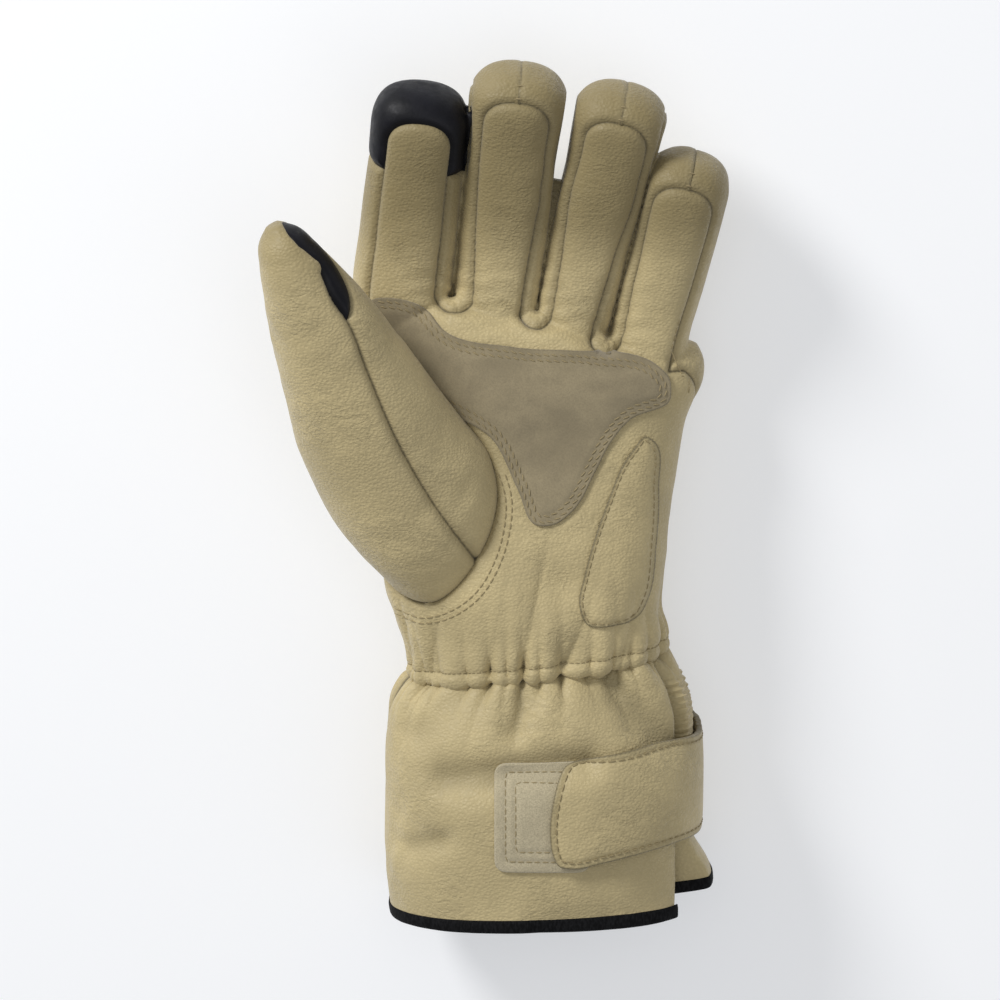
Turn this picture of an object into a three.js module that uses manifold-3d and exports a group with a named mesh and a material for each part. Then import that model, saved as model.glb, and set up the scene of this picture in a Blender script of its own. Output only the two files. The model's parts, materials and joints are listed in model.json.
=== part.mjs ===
// Padded leather gauntlet glove for the left hand, lying on its back with the palm up.
// Millimetres. +Y runs from the wrist to the fingertips, +X to the little finger, +Z up.
// Inside the model the wrist seam is at y = 0 and the glove rests on z = 0.

import * as THREE from "three";
import { mergeVertices } from "three/addons/utils/BufferGeometryUtils.js";
import Module from "manifold-3d";

const wasm = await Module();
wasm.setup();

// Hand
const palmLength = 130;
const palmWidth = 120;
const palmDepth = 58;
const wristWidth = 89;
const wristDepth = 51;
const wristLift = 6;
const wristSlope = 0.11;
const wall = 3;
const seamGap = 0.3;
const gatherDepth = 1.3;
const gatherCount = 18;
const gatherReach = 34;
const slopeReach = 44;

// Fingers and thumb
const fingerLength = 104;
const fingerDepth = 29;
const fingerLift = 20;
const fingerRise = 8;
const fingerCurl = 12;
const frontTip = 7;
const backTip = 5.8;
const capLength = 28;
const thumbLength = 151;
const thumbWidth = 61.5;
const thumbDepth = 46;
const thumbRise = 25;
const thumbCurl = -14;

// Cuff
const cuffLength = 93;
const cuffWidth = 124;
const cuffDepth = 70;
const cuffGather = 13;
const cuffSlope = 116;
const slitReach = 8;
const slitLift = 8.5;
const bindingHeight = 5.4;
const bindingThickness = 0.9;

// Parts laid on the leather
const patchThickness = 1.1;
const heelThickness = 1.5;
const loopThickness = 1.3;
const loopLength = 34;
const loopWidth = 39;
const strapThickness = 2.4;
const strapLength = 57;
const strapWidth = 35;

const FULL = Math.PI * 2;
const DEGREE = Math.PI / 180;
const EPSILON = 1e-9;

// Colours and finishes
const finishes = {
  leather: { color: 0xc3b084, roughness: 0.6, metalness: 0 },
  suede: { color: 0x9c9170, roughness: 0.9, metalness: 0 },
  touch: { color: 0x24262b, roughness: 0.4, metalness: 0 },
  binding: { color: 0x1a1a1b, roughness: 0.75, metalness: 0 },
  loop: { color: 0xbdb28a, roughness: 1, metalness: 0 },
};

// Tables: every length is a share of the named size that it follows

// Sections of the hand from the wrist seam to the finger forks.
// along x palmLength; left, right x palmWidth; top, bottom x palmDepth.
const handRows = [
  { along: 0.05, left: 0.375, right: 0.38, top: 1.0, bottom: 0.09 },
  { along: 0.12, left: 0.402, right: 0.366, top: 1.01, bottom: 0.07 },
  { along: 0.22, left: 0.446, right: 0.37, top: 1.01, bottom: 0.04 },
  { along: 0.34, left: 0.465, right: 0.388, top: 0.98, bottom: 0.02 },
  { along: 0.52, left: 0.484, right: 0.412, top: 0.925, bottom: -0.03 },
  { along: 0.74, left: 0.51, right: 0.448, top: 0.85, bottom: -0.03 },
  { along: 0.88, left: 0.53, right: 0.497, top: 0.78, bottom: 0 },
  { along: 0.95, left: 0.533, right: 0.498, top: 0.72, bottom: 0.03 },
  { along: 1.0, left: 0.52, right: 0.482, top: 0.6, bottom: 0.13 },
];

// Sections of the cuff from the wrist seam to the hem.
// along x cuffLength; left, right x cuffWidth; top, bottom x cuffDepth.
const cuffRows = [
  { along: 0.09, left: 0.412, right: 0.408, top: 0.87, bottom: 0.06 },
  { along: 0.2, left: 0.43, right: 0.443, top: 0.92, bottom: 0.03 },
  { along: 0.38, left: 0.436, right: 0.45, top: 0.973, bottom: 0 },
  { along: 0.56, left: 0.44, right: 0.453, top: 0.996, bottom: -0.025 },
  { along: 0.74, left: 0.438, right: 0.453, top: 1.0, bottom: -0.03 },
  { along: 1.0, left: 0.42, right: 0.452, top: 0.98, bottom: 0.02 },
];

// Fingers. root, width, front x palmWidth; start x palmLength; length x fingerLength.
// splay in degrees from +Y; front is the width of the palm-side panel.
const fingers = {
  index: {
    root: -0.417, start: 0.9, splay: 6.5, length: 0.926,
    rootWidth: 0.278, midWidth: 0.296, tipWidth: 0.284, rootFront: 0.205, tipFront: 0.2,
  },
  middle: {
    root: -0.13, start: 0.9, splay: 5.8, length: 1.0,
    rootWidth: 0.248, midWidth: 0.27, tipWidth: 0.282, rootFront: 0.145, tipFront: 0.205,
  },
  ring: {
    root: 0.09, start: 0.885, splay: 12.5, length: 0.96,
    rootWidth: 0.228, midWidth: 0.246, tipWidth: 0.275, rootFront: 0.13, tipFront: 0.2,
  },
  little: {
    root: 0.315, start: 0.83, splay: 13.2, length: 0.79,
    rootWidth: 0.236, midWidth: 0.25, tipWidth: 0.254, rootFront: 0.165, tipFront: 0.19,
  },
};

// Line of the forks between the fingers: across x palmWidth; along x palmLength
const forkRows = [
  { across: -0.6, along: 0.0 },
  { across: -0.242, along: -0.004 },
  { across: 0.007, along: -0.027 },
  { across: 0.235, along: -0.094 },
  { across: 0.42, along: -0.12 },
];

// Thumb. along x thumbLength; left, right x thumbWidth; front, back x thumbDepth.
const thumbRoot = { across: -0.3, along: 0.254, height: 0.517, splay: -22.4 };
const thumbRows = [
  { along: 0.0, left: 0.17, right: 0.2, front: 0.44, back: 0.2 },
  { along: 0.035, left: 0.245, right: 0.32, front: 0.52, back: 0.3 },
  { along: 0.1, left: 0.3, right: 0.48, front: 0.56, back: 0.38 },
  { along: 0.17, left: 0.348, right: 0.56, front: 0.56, back: 0.42 },
  { along: 0.25, left: 0.388, right: 0.57, front: 0.52, back: 0.44 },
  { along: 0.37, left: 0.408, right: 0.49, front: 0.46, back: 0.43 },
  { along: 0.48, left: 0.405, right: 0.43, front: 0.42, back: 0.41 },
  { along: 0.61, left: 0.352, right: 0.373, front: 0.38, back: 0.38 },
  { along: 0.74, left: 0.284, right: 0.31, front: 0.35, back: 0.35 },
  { along: 0.85, left: 0.222, right: 0.222, front: 0.32, back: 0.3 },
  { along: 0.93, left: 0.172, right: 0.15, front: 0.26, back: 0.24 },
  { along: 0.98, left: 0.12, right: 0.085, front: 0.17, back: 0.16 },
  { along: 1.003, left: 0.06, right: 0.02, front: 0.07, back: 0.07 },
];

// Seam between the outer and inner thumb panels: side x thumbWidth
const thumbSeamRows = [
  { along: -0.1, side: 0.33 },
  { along: 0.03, side: 0.29 },
  { along: 0.14, side: 0.25 },
  { along: 0.27, side: 0.19 },
  { along: 0.42, side: 0.15 },
  { along: 0.64, side: 0.156 },
  { along: 0.755, side: 0.17 },
  { along: 0.82, side: 0.141 },
  { along: 0.9, side: 0.138 },
  { along: 0.945, side: 0.078 },
  { along: 0.97, side: 0.049 },
  { along: 1.1, side: -0.03 },
];

// Lower edge of the dark strip on the thumb tip: low x thumbDepth
const thumbStripRows = [
  { along: 0.755, low: 0.3 },
  { along: 0.8, low: 0.16 },
  { along: 0.86, low: -0.02 },
  { along: 0.95, low: -0.14 },
  { along: 1.1, low: -0.18 },
];

// Outline of the grip patch: across x palmWidth; along x palmLength
const patchOutline = [
  { across: -0.52, along: 1.045 },
  { across: -0.36, along: 1.018 },
  { across: -0.265, along: 0.94 },
  { across: -0.067, along: 0.9 },
  { across: 0.17, along: 0.884 },
  { across: 0.36, along: 0.84 },
  { across: 0.395, along: 0.8 },
  { across: 0.396, along: 0.752 },
  { across: 0.275, along: 0.7 },
  { across: 0.22, along: 0.64 },
  { across: 0.18, along: 0.57 },
  { across: 0.1, along: 0.45 },
  { across: 0.05, along: 0.42 },
  { across: 0.0, along: 0.42 },
  { across: -0.058, along: 0.52 },
  { across: -0.138, along: 0.66 },
  { across: -0.24, along: 0.72 },
  { across: -0.52, along: 0.8 },
];

// Outline of the heel pad: across x palmWidth; along x palmLength
const heelOutline = [
  { across: 0.37, along: 0.655 },
  { across: 0.34, along: 0.66 },
  { across: 0.284, along: 0.62 },
  { across: 0.204, along: 0.462 },
  { across: 0.142, along: 0.279 },
  { across: 0.128, along: 0.19 },
  { across: 0.15, along: 0.145 },
  { across: 0.213, along: 0.138 },
  { across: 0.335, along: 0.17 },
  { across: 0.357, along: 0.2 },
];

// Folds of the cuff front: places x cuffWidth and cuffLength, width and depth x cuffDepth
const cuffFolds = [
  { fromX: 0.16, fromY: 0.03, toX: 0.35, toY: 0.29, width: 0.07, depth: 0.06 },
  { fromX: -0.22, fromY: 0.37, toX: 0.1, toY: 0.34, width: 0.06, depth: 0.035 },
  { fromX: -0.38, fromY: 0.67, toX: -0.29, toY: 0.63, width: 0.05, depth: 0.025 },
];

// Outline of the strap, from its sewn end to its free end:
// across x strapLength to the left of the sewn end; along x strapWidth from its lower edge
const strapOutline = [
  { across: -0.3, along: 0 },
  { across: 0.2, along: 0 },
  { across: 0.43, along: -0.06 },
  { across: 0.66, along: -0.12 },
  { across: 0.86, along: -0.17 },
  { across: 0.94, along: -0.14 },
  { across: 0.985, along: -0.02 },
  { across: 1.0, along: 0.16 },
  { across: 0.94, along: 0.66 },
  { across: 0.9, along: 0.79 },
  { across: 0.83, along: 0.88 },
  { across: 0.66, along: 0.94 },
  { across: 0.44, along: 1.0 },
  { across: 0.2, along: 1.04 },
  { across: -0.3, along: 1.04 },
];

// Outline of the loop patch: across x loopLength; along x loopWidth, both from its lower left
const loopOutline = [
  { across: 0.0, along: 0.12 },
  { across: 0.03, along: 0.04 },
  { across: 0.12, along: 0.0 },
  { across: 0.97, along: 0.0 },
  { across: 1.0, along: 0.05 },
  { across: 1.0, along: 0.95 },
  { across: 0.97, along: 1.0 },
  { across: 0.12, along: 1.0 },
  { across: 0.03, along: 0.96 },
  { across: 0.0, along: 0.88 },
];

// Wedge for the outer gussets between palm and back: along x palmLength, open x palmDepth
const wedgeRows = [
  { along: -0.2, open: 0 },
  { along: 0.72, open: 0 },
  { along: 0.8, open: 0.03 },
  { along: 0.925, open: 0.16 },
];

// Places of the lower corners: across x cuffWidth, along x cuffLength
const loopPlace = { across: -0.12, along: -0.745 };
const strapPlace = { across: 0.5, along: -0.66 };

// Hollows of the palm: places x palmWidth and palmLength, reach x palmWidth, depth x palmDepth
const palmDents = [
  { across: 0.06, along: 0.62, reach: 0.22, depth: 0.07 },
  { across: 0.07, along: 0.25, reach: 0.09, depth: 0.06 },
  { across: -0.1, along: 0.93, reach: 0.12, depth: 0.03 },
];

// Closed triangle mesh, turned outwards
function closedGeometry(points, triangles) {
  let volume = 0;
  const cross = new THREE.Vector3();
  for (const [a, b, c] of triangles) {
    volume += points[a].dot(cross.crossVectors(points[b], points[c]));
  }
  const turned = volume < 0 ? triangles.map(([a, b, c]) => [a, c, b]) : triangles;
  const geometry = new THREE.BufferGeometry().setFromPoints(points);
  geometry.setIndex(turned.flat());
  return geometry;
}

function toSolid(geometry) {
  const merged = geometry.clone();
  merged.deleteAttribute("normal");
  merged.deleteAttribute("uv");
  const welded = mergeVertices(merged, 1e-5);
  const mesh = new wasm.Mesh({
    numProp: 3,
    vertProperties: new Float32Array(welded.attributes.position.array),
    triVerts: new Uint32Array(welded.index.array),
  });
  return new wasm.Manifold(mesh);
}

function toGeometry(solid) {
  const mesh = solid.getMesh();
  const geometry = new THREE.BufferGeometry();
  geometry.setAttribute("position", new THREE.BufferAttribute(mesh.vertProperties, 3));
  geometry.setIndex(new THREE.BufferAttribute(mesh.triVerts, 1));
  geometry.computeVertexNormals();
  return geometry;
}

function joined(solids) {
  return solids.reduce((total, solid) => total.add(solid));
}

// Solid through closed rings with the same number of points, with a fan over each end
function loftSolid(rings) {
  const count = rings[0].length;
  const points = rings.flat();
  const triangles = [];
  for (let i = 0; i < rings.length - 1; i++) {
    for (let j = 0; j < count; j++) {
      const a = i * count + j;
      const b = i * count + ((j + 1) % count);
      triangles.push([a, b, b + count], [a, b + count, a + count]);
    }
  }
  for (const end of [0, rings.length - 1]) {
    const centre = new THREE.Vector3();
    rings[end].forEach((point) => centre.add(point));
    const hub = points.push(centre.divideScalar(count)) - 1;
    for (let j = 0; j < count; j++) {
      const a = end * count + j;
      const b = end * count + ((j + 1) % count);
      triangles.push(end === 0 ? [hub, b, a] : [hub, a, b]);
    }
  }
  return toSolid(closedGeometry(points, triangles));
}

// Every other row of a table, with its last: enough for the smooth inside of a wall
function everyOther(rows) {
  return rows.filter((_, index) => index % 2 === 0 || index === rows.length - 1);
}

// Solid between two grids of points of the same size
function sheetSolid(outer, inner) {
  const rows = outer.length;
  const columns = outer[0].length;
  const points = [...outer.flat(), ...inner.flat()];
  const shift = rows * columns;
  const triangles = [];
  const quad = (a, b, c, d) => triangles.push([a, b, c], [a, c, d]);
  for (let i = 0; i < rows - 1; i++) {
    for (let j = 0; j < columns - 1; j++) {
      const a = i * columns + j;
      quad(a, a + 1, a + 1 + columns, a + columns);
      quad(a + shift, a + columns + shift, a + 1 + columns + shift, a + 1 + shift);
    }
    const left = i * columns;
    const right = left + columns - 1;
    quad(left, left + columns, left + columns + shift, left + shift);
    quad(right + columns, right, right + shift, right + columns + shift);
  }
  for (let j = 0; j < columns - 1; j++) {
    const last = (rows - 1) * columns + j;
    quad(j + 1, j, j + shift, j + 1 + shift);
    quad(last, last + 1, last + 1 + shift, last + shift);
  }
  return toSolid(closedGeometry(points, triangles));
}

function extrudedSolid(corners, bottom, top) {
  const shape = new THREE.Shape(corners);
  const geometry = new THREE.ExtrudeGeometry(shape, { depth: top - bottom, bevelEnabled: false });
  geometry.translate(0, 0, bottom);
  return toSolid(geometry);
}

// Value of a table column between its rows
function columnAt(rows, place, column, key = "along") {
  const last = rows[rows.length - 1];
  if (place <= rows[0][key]) {
    return rows[0][column];
  }
  for (let i = 1; i < rows.length; i++) {
    if (place <= rows[i][key]) {
      const part = (place - rows[i - 1][key]) / (rows[i][key] - rows[i - 1][key]);
      return THREE.MathUtils.lerp(rows[i - 1][column], rows[i][column], part);
    }
  }
  return last[column];
}

// Rounded box section: half sizes to each side and an angle from +X
function sectionPoint(angle, sides, squareness) {
  const c = Math.cos(angle);
  const s = Math.sin(angle);
  const across = c > 0 ? sides.right : sides.left;
  const rise = s > 0 ? sides.front : sides.back;
  return [
    across * Math.sign(c) * Math.pow(Math.abs(c), 2 / squareness),
    rise * Math.sign(s) * Math.pow(Math.abs(s), 2 / squareness),
  ];
}

// Gathers at the wrist seam, strongest at the seam
function gather(angle, distance, reach) {
  const fade = Math.max(0, 1 - distance / reach);
  return gatherDepth * Math.cos(gatherCount * angle) * fade * fade;
}

const bodySides = 2 * gatherCount;
const bodySquareness = 2.35;
const seatSquareness = 2.9;

function seamLift(x, distance, reach) {
  return wristSlope * x * Math.max(0, 1 - distance / reach);
}

// Wrist ring, shared by the hand and the cuff
const wristRow = {
  along: 0,
  left: wristWidth * 0.495,
  right: wristWidth * 0.505,
  top: wristLift + wristDepth,
  bottom: wristLift,
};

const handSections = [
  wristRow,
  ...handRows.map((row) => ({
    along: row.along * palmLength,
    left: row.left * palmWidth,
    right: row.right * palmWidth,
    top: row.top * palmDepth,
    bottom: row.bottom * palmDepth,
  })),
];

const cuffSections = [
  wristRow,
  ...cuffRows.map((row) => ({
    along: row.along * cuffLength,
    left: row.left * cuffWidth,
    right: row.right * cuffWidth,
    top: row.top * cuffDepth,
    bottom: row.bottom * cuffDepth,
  })),
];

// Point on a section of the hand or cuff, moved outwards by grow and flattened where it rests
function bodyPoint(section, angle, grow, ripple) {
  const centre = (section.top + section.bottom) / 2;
  const half = (section.top - section.bottom) / 2;
  const extra = grow + ripple;
  const sides = {
    left: section.left + extra,
    right: section.right + extra,
    front: half + extra,
    back: half + grow + Math.min(0, ripple),
  };
  const squareness = Math.sin(angle) < 0 ? seatSquareness : bodySquareness;
  const [x, rise] = sectionPoint(angle, sides, squareness);
  const rest = Math.max(0, -grow);
  return new THREE.Vector3(x, 0, Math.max(centre + rise, rest));
}

// Line of the finger forks: further back towards the little finger
function forkLine(x) {
  return palmLength * columnAt(forkRows, x / palmWidth, "along", "across");
}

function palmDent(x, along) {
  let sum = 0;
  for (const dent of palmDents) {
    const dx = (x / palmWidth - dent.across) / dent.reach;
    const dy = ((along / palmLength - dent.along) * palmLength) / palmWidth / dent.reach;
    sum += dent.depth * palmDepth * Math.exp(-dx * dx - dy * dy);
  }
  return sum;
}

function handRing(section, grow, sides, rippled) {
  const ring = [];
  for (let j = 0; j < sides; j++) {
    const angle = (j / sides) * FULL;
    const ripple = rippled ? gather(angle, section.along, gatherReach) : 0;
    const point = bodyPoint(section, angle, grow, ripple);
    const forward = section.along / palmLength;
    point.y = section.along + forkLine(point.x) * forward * forward;
    point.y += seamLift(point.x, section.along, slopeReach);
    if (Math.sin(angle) > 0) {
      point.z -= palmDent(point.x, section.along) * Math.sin(angle);
    }
    ring.push(point);
  }
  return ring;
}

function shifted(ring, distance) {
  return ring.map((point) => point.clone().add(new THREE.Vector3(0, distance, 0)));
}

// Whole hand without fingers, moved outwards by grow; the inner one runs out of the wrist
function handSolid(grow, sides, rippled) {
  const sections = grow < 0 ? everyOther(handSections) : handSections;
  const rings = sections.map((section) => handRing(section, grow, sides, rippled));
  rings[0] = shifted(rings[0], seamGap / 2);
  if (grow < 0) {
    rings.unshift(shifted(rings[0], -2 * wall));
    const last = rings.length - 1;
    rings[last] = shifted(rings[last], grow);
    rings[last - 1] = shifted(rings[last - 1], grow / 2);
  }
  return loftSolid(rings);
}

// Spine of a finger or thumb: a slow arc upwards
const spineSteps = 40;

function spineOf({ root, splay, rise, curl, length }) {
  const heading = splay * DEGREE;
  const ahead = new THREE.Vector3(Math.sin(heading), Math.cos(heading), 0);
  const side = new THREE.Vector3(Math.cos(heading), -Math.sin(heading), 0);
  const frameAt = (distance) => {
    const place = root.clone();
    const bounded = Math.min(Math.max(distance, 0), length);
    const step = bounded / spineSteps;
    const direction = (at) => {
      const pitch = (rise + (curl * Math.min(Math.max(at, 0), length)) / length) * DEGREE;
      const forward = ahead.clone().multiplyScalar(Math.cos(pitch));
      forward.z = Math.sin(pitch);
      return forward;
    };
    for (let i = 0; i < spineSteps; i++) {
      place.addScaledVector(direction((i + 0.5) * step), step);
    }
    const forward = direction(bounded);
    place.addScaledVector(forward, distance - bounded);
    return { place, side, forward, up: side.clone().cross(forward) };
  };
  return { length, frameAt };
}

function placeInFrame(frame, across, rise) {
  return frame.place.clone().addScaledVector(frame.side, across).addScaledVector(frame.up, rise);
}

function fingerSpine(finger) {
  const x = finger.root * palmWidth;
  const y = finger.start * palmLength;
  return spineOf({
    root: new THREE.Vector3(x, y, fingerLift),
    splay: finger.splay,
    rise: fingerRise,
    curl: fingerCurl,
    length: finger.length * fingerLength,
  });
}

function fingerWidthAt(finger, share) {
  const rows = [
    { along: 0, width: finger.rootWidth },
    { along: 0.33, width: finger.midWidth },
    { along: 0.75, width: finger.tipWidth },
  ];
  return columnAt(rows, share, "width") * palmWidth;
}

const fingerSides = 12;
const fingerInnerSides = 8;
const fingerSquareness = 2.5;
const tipSquareness = 2.4;
const shaftShares = [0, 0.27, 0.55, 0.83];
const rootStart = -0.4 * fingerDepth;
const rootTaper = 0.72;
const rootSwell = 0.16;
const swellReach = 0.3;
const tipAngles = [0, 36, 70];
const faceShares = [0, 0.5, 1];
const faceAngles = [40, 70, 87];
const faceSpread = 1.3;
const archDepth = 0.85;
const archFullness = 0.8;

// Rings of a finger: a shaft of equal steps and a rounded end
function fingerSolid(finger, grow) {
  const spine = fingerSpine(finger);
  const length = spine.length;
  const count = grow < 0 ? fingerInnerSides : fingerSides;
  const tipReach = fingerDepth / 2;
  const shaftEnd = length - tipReach;
  const stations = shaftShares.map((share) => ({ at: share * shaftEnd, scale: 1 }));
  stations.unshift({ at: rootStart, scale: rootTaper });
  for (const tipAngle of tipAngles) {
    const angle = tipAngle * DEGREE;
    stations.push({
      at: shaftEnd + (tipReach + grow) * Math.pow(Math.sin(angle) + EPSILON, 2 / tipSquareness),
      scale: Math.pow(Math.cos(angle), 2 / tipSquareness),
    });
  }
  const rings = stations.map(({ at, scale }) => {
    const frame = spine.frameAt(at);
    const half = (fingerWidthAt(finger, at / length) / 2 + grow) * scale;
    const swell = 1 + rootSwell * Math.max(0, 1 - at / length / swellReach);
    const rise = ((fingerDepth * swell) / 2 + grow) * scale;
    const sides = { left: half, right: half, front: rise, back: rise };
    return Array.from({ length: count }, (_, j) => {
      const [across, up] = sectionPoint((j / count) * FULL, sides, fingerSquareness);
      return placeInFrame(frame, across, up);
    });
  });
  return loftSolid(rings);
}

// Block along a spine: rows give its distance, left, right, low and high sides
function spineBlock(spine, rows) {
  const rings = rows.map((row) => {
    const frame = spine.frameAt(row.at);
    return [
      placeInFrame(frame, row.left, row.low),
      placeInFrame(frame, row.right, row.low),
      placeInFrame(frame, row.right, row.high),
      placeInFrame(frame, row.left, row.high),
    ];
  });
  return loftSolid(rings);
}

// Block over one face of a finger, rounded at the fingertip
function fingerFace(finger, facing, gap) {
  const spine = fingerSpine(finger);
  const rootHalf = (finger.rootFront * palmWidth) / 2;
  const tipHalf = (finger.tipFront * palmWidth) / 2;
  const end = spine.length - (facing > 0 ? frontTip : backTip);
  const arch = tipHalf * archDepth;
  const rows = [];
  const side = (at, half) => ({
    at,
    left: -half - gap,
    right: half + gap,
    low: facing > 0 ? 0 : -fingerDepth,
    high: facing > 0 ? fingerDepth : 0,
  });
  for (const share of faceShares) {
    const blend = Math.min(1, share * faceSpread);
    rows.push(side(share * (end - arch), THREE.MathUtils.lerp(rootHalf, tipHalf, blend)));
  }
  for (const angle of faceAngles) {
    const at = end - arch + (arch + gap) * Math.sin(angle * DEGREE);
    rows.push(side(at, tipHalf * Math.pow(Math.cos(angle * DEGREE), archFullness)));
  }
  return spineBlock(spine, rows);
}

// Block over half of a finger, from its middle to one side
function fingerHalf(finger, sign, start) {
  const spine = fingerSpine(finger);
  const end = spine.length + fingerDepth;
  const reach = fingerWidthAt(finger, 0.75) / 2 + wall;
  const near = (sign * seamGap) / 2;
  const far = sign * reach;
  return spineBlock(
    spine,
    [start, spine.length * 0.5, end].map((at) => ({
      at,
      left: Math.min(near, far),
      right: Math.max(near, far),
      low: -fingerDepth,
      high: fingerDepth,
    })),
  );
}

// Height of the side seam between the palm and the back of the hand, and how far a face block
// goes past the hand; the back runs further under the fingers than the palm over them
const seamHeight = palmDepth * 0.42;
const faceReach = 0.9;
const backBeyond = 0.02;

// Block over the palm or the back of the hand, which opens a wedge for the side gussets
function handFace(facing, gap) {
  const far = facing > 0 ? palmDepth * 3 : -palmDepth;
  const places = [-faceReach, ...forkRows.slice(1).map((row) => row.across), faceReach];
  const grids = [[], []];
  for (const station of wedgeRows) {
    const atEnd = station === wedgeRows[wedgeRows.length - 1];
    const along = station.along + (atEnd && facing < 0 ? backBeyond : 0);
    const near = seamHeight + facing * (station.open * palmDepth + seamGap / 2 - gap);
    const rows = [[], []];
    for (const across of places) {
      const x = across * palmWidth;
      const y = along * palmLength + gap + forkLine(x) * Math.max(0, along) ** 2;
      rows[0].push(new THREE.Vector3(x, y, near));
      rows[1].push(new THREE.Vector3(x, y, far));
    }
    grids[0].push(rows[0]);
    grids[1].push(rows[1]);
  }
  return sheetSolid(grids[0], grids[1]);
}

// Thumb
const thumbSides = 16;
const thumbInnerSides = 8;
const thumbSquareness = 2.2;
const thumbTipRows = 3;
const smallestHalf = 0.4;
const thumbSpine = spineOf({
  root: new THREE.Vector3(
    thumbRoot.across * palmWidth,
    thumbRoot.along * palmLength,
    thumbRoot.height * palmDepth,
  ),
  splay: thumbRoot.splay,
  rise: thumbRise,
  curl: thumbCurl,
  length: thumbLength,
});

function thumbSolid(grow) {
  const rows = grow < 0 ? everyOther(thumbRows) : thumbRows;
  const count = grow < 0 ? thumbInnerSides : thumbSides;
  const rings = rows.map((row, index) => {
    let at = row.along * thumbLength;
    if (index >= rows.length - thumbTipRows) {
      at += grow * (1 - (rows.length - 1 - index) / (thumbTipRows + 1));
    }
    const frame = thumbSpine.frameAt(index === 0 ? at - grow : at);
    const sides = {
      left: Math.max(smallestHalf, row.left * thumbWidth + grow),
      right: Math.max(smallestHalf, row.right * thumbWidth + grow),
      front: Math.max(smallestHalf, row.front * thumbDepth + grow),
      back: Math.max(smallestHalf, row.back * thumbDepth + grow),
    };
    return Array.from({ length: count }, (_, j) => {
      const [across, up] = sectionPoint((j / count) * FULL, sides, thumbSquareness);
      return placeInFrame(frame, across, up);
    });
  });
  return loftSolid(rings);
}

// Block on the inner side of the thumb seam
function thumbInnerBlock(gap) {
  return spineBlock(
    thumbSpine,
    thumbSeamRows.map((row) => ({
      at: row.along * thumbLength,
      left: row.side * thumbWidth - gap,
      right: thumbWidth,
      low: -2 * thumbDepth,
      high: 2 * thumbDepth,
    })),
  );
}

// Block over the dark strip on the thumb tip
function thumbStripBlock(gap) {
  const start = thumbStripRows[0].along;
  const places = [...thumbSeamRows, ...thumbStripRows].map((row) => row.along);
  const stations = [...new Set(places)].filter((along) => along >= start).sort((a, b) => a - b);
  return spineBlock(
    thumbSpine,
    stations.map((along) => ({
      at: along * thumbLength - gap,
      left: columnAt(thumbSeamRows, along, "side") * thumbWidth - gap,
      right: thumbWidth,
      low: columnAt(thumbStripRows, along, "low") * thumbDepth - gap,
      high: 2 * thumbDepth,
    })),
  );
}

// Hand and fingers together, moved outwards by grow
function coveredHand(grow) {
  return joined([handSolid(grow, bodySides, true), ...fingerList.map((f) => fingerSolid(f, grow))]);
}

const fingerList = Object.values(fingers);
const innerSides = 16;

const handOuter = coveredHand(0);
const handInner = joined([
  handSolid(-wall, innerSides, false),
  ...fingerList.map((finger) => fingerSolid(finger, -wall)),
]);
const handShell = handOuter.subtract(handInner);
const thumbCut = thumbSolid(seamGap);
const thumbShell = thumbSolid(0).subtract(thumbSolid(-wall)).subtract(handInner);

function faceBlock(facing, gap) {
  return joined([
    handFace(facing, gap),
    ...fingerList.map((finger) => fingerFace(finger, facing, gap)),
  ]);
}

const palmPanel = handShell.intersect(faceBlock(1, 0)).subtract(thumbCut);
const backPanel = handShell.intersect(faceBlock(-1, 0)).subtract(thumbCut);
const gussetStock = handShell
  .subtract(faceBlock(1, seamGap))
  .subtract(faceBlock(-1, seamGap))
  .subtract(thumbCut);

const capStart = fingers.index.length * fingerLength - capLength;
const capEnd = fingers.index.length * fingerLength + fingerDepth;
const capReach = (fingers.index.tipWidth * palmWidth) / 2 + seamGap;
const wedgeStart = -0.3 * palmLength;

// Block over the dark cap of the index finger, which stops at the middle finger
function capBlock(gap) {
  const block = spineBlock(
    fingerSpine(fingers.index),
    [capStart - gap, (capStart + capEnd) / 2, capEnd].map((at) => ({
      at,
      left: -capReach - gap,
      right: capReach + gap,
      low: -fingerDepth,
      high: fingerDepth,
    })),
  );
  return block.subtract(fingerSolid(fingers.middle, seamGap - gap));
}

const touchCap = gussetStock.intersect(capBlock(0));
const gussetLeather = gussetStock.subtract(capBlock(seamGap));

// Gusset between two neighbouring fingers, or along the outside of the hand
function gusset(left, right) {
  const halves = [];
  if (left) {
    halves.push(fingerHalf(left, 1, right ? -wall : wedgeStart));
  }
  if (right) {
    halves.push(fingerHalf(right, -1, left ? -wall : wedgeStart));
  }
  return gussetLeather.intersect(joined(halves));
}

const thumbInner = thumbShell.intersect(thumbInnerBlock(0)).subtract(thumbStripBlock(seamGap));
const thumbOuter = thumbShell.subtract(thumbInnerBlock(seamGap));
const thumbStrip = thumbShell.intersect(thumbStripBlock(0));

// Flat outline in the palm as a tall block
function outlineBlock(outline) {
  const corners = outline.map(
    (row) => new THREE.Vector2(row.across * palmWidth, row.along * palmLength),
  );
  return extrudedSolid(corners, seamHeight + wall, palmDepth * 2);
}

function laidPiece(outline, thickness) {
  const layer = coveredHand(seamGap + thickness).subtract(coveredHand(seamGap));
  return layer.intersect(outlineBlock(outline)).subtract(thumbCut);
}

// Cuff
const cuffStep = FULL / bodySides;
const palmEdge = 27 * DEGREE;
const backEdge = 36 * DEGREE;
const tuckStart = 12 * DEGREE;
const tuckEnd = 24 * DEGREE;
const slitStart = 0.74;
const slitEnd = 0.97;

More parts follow.
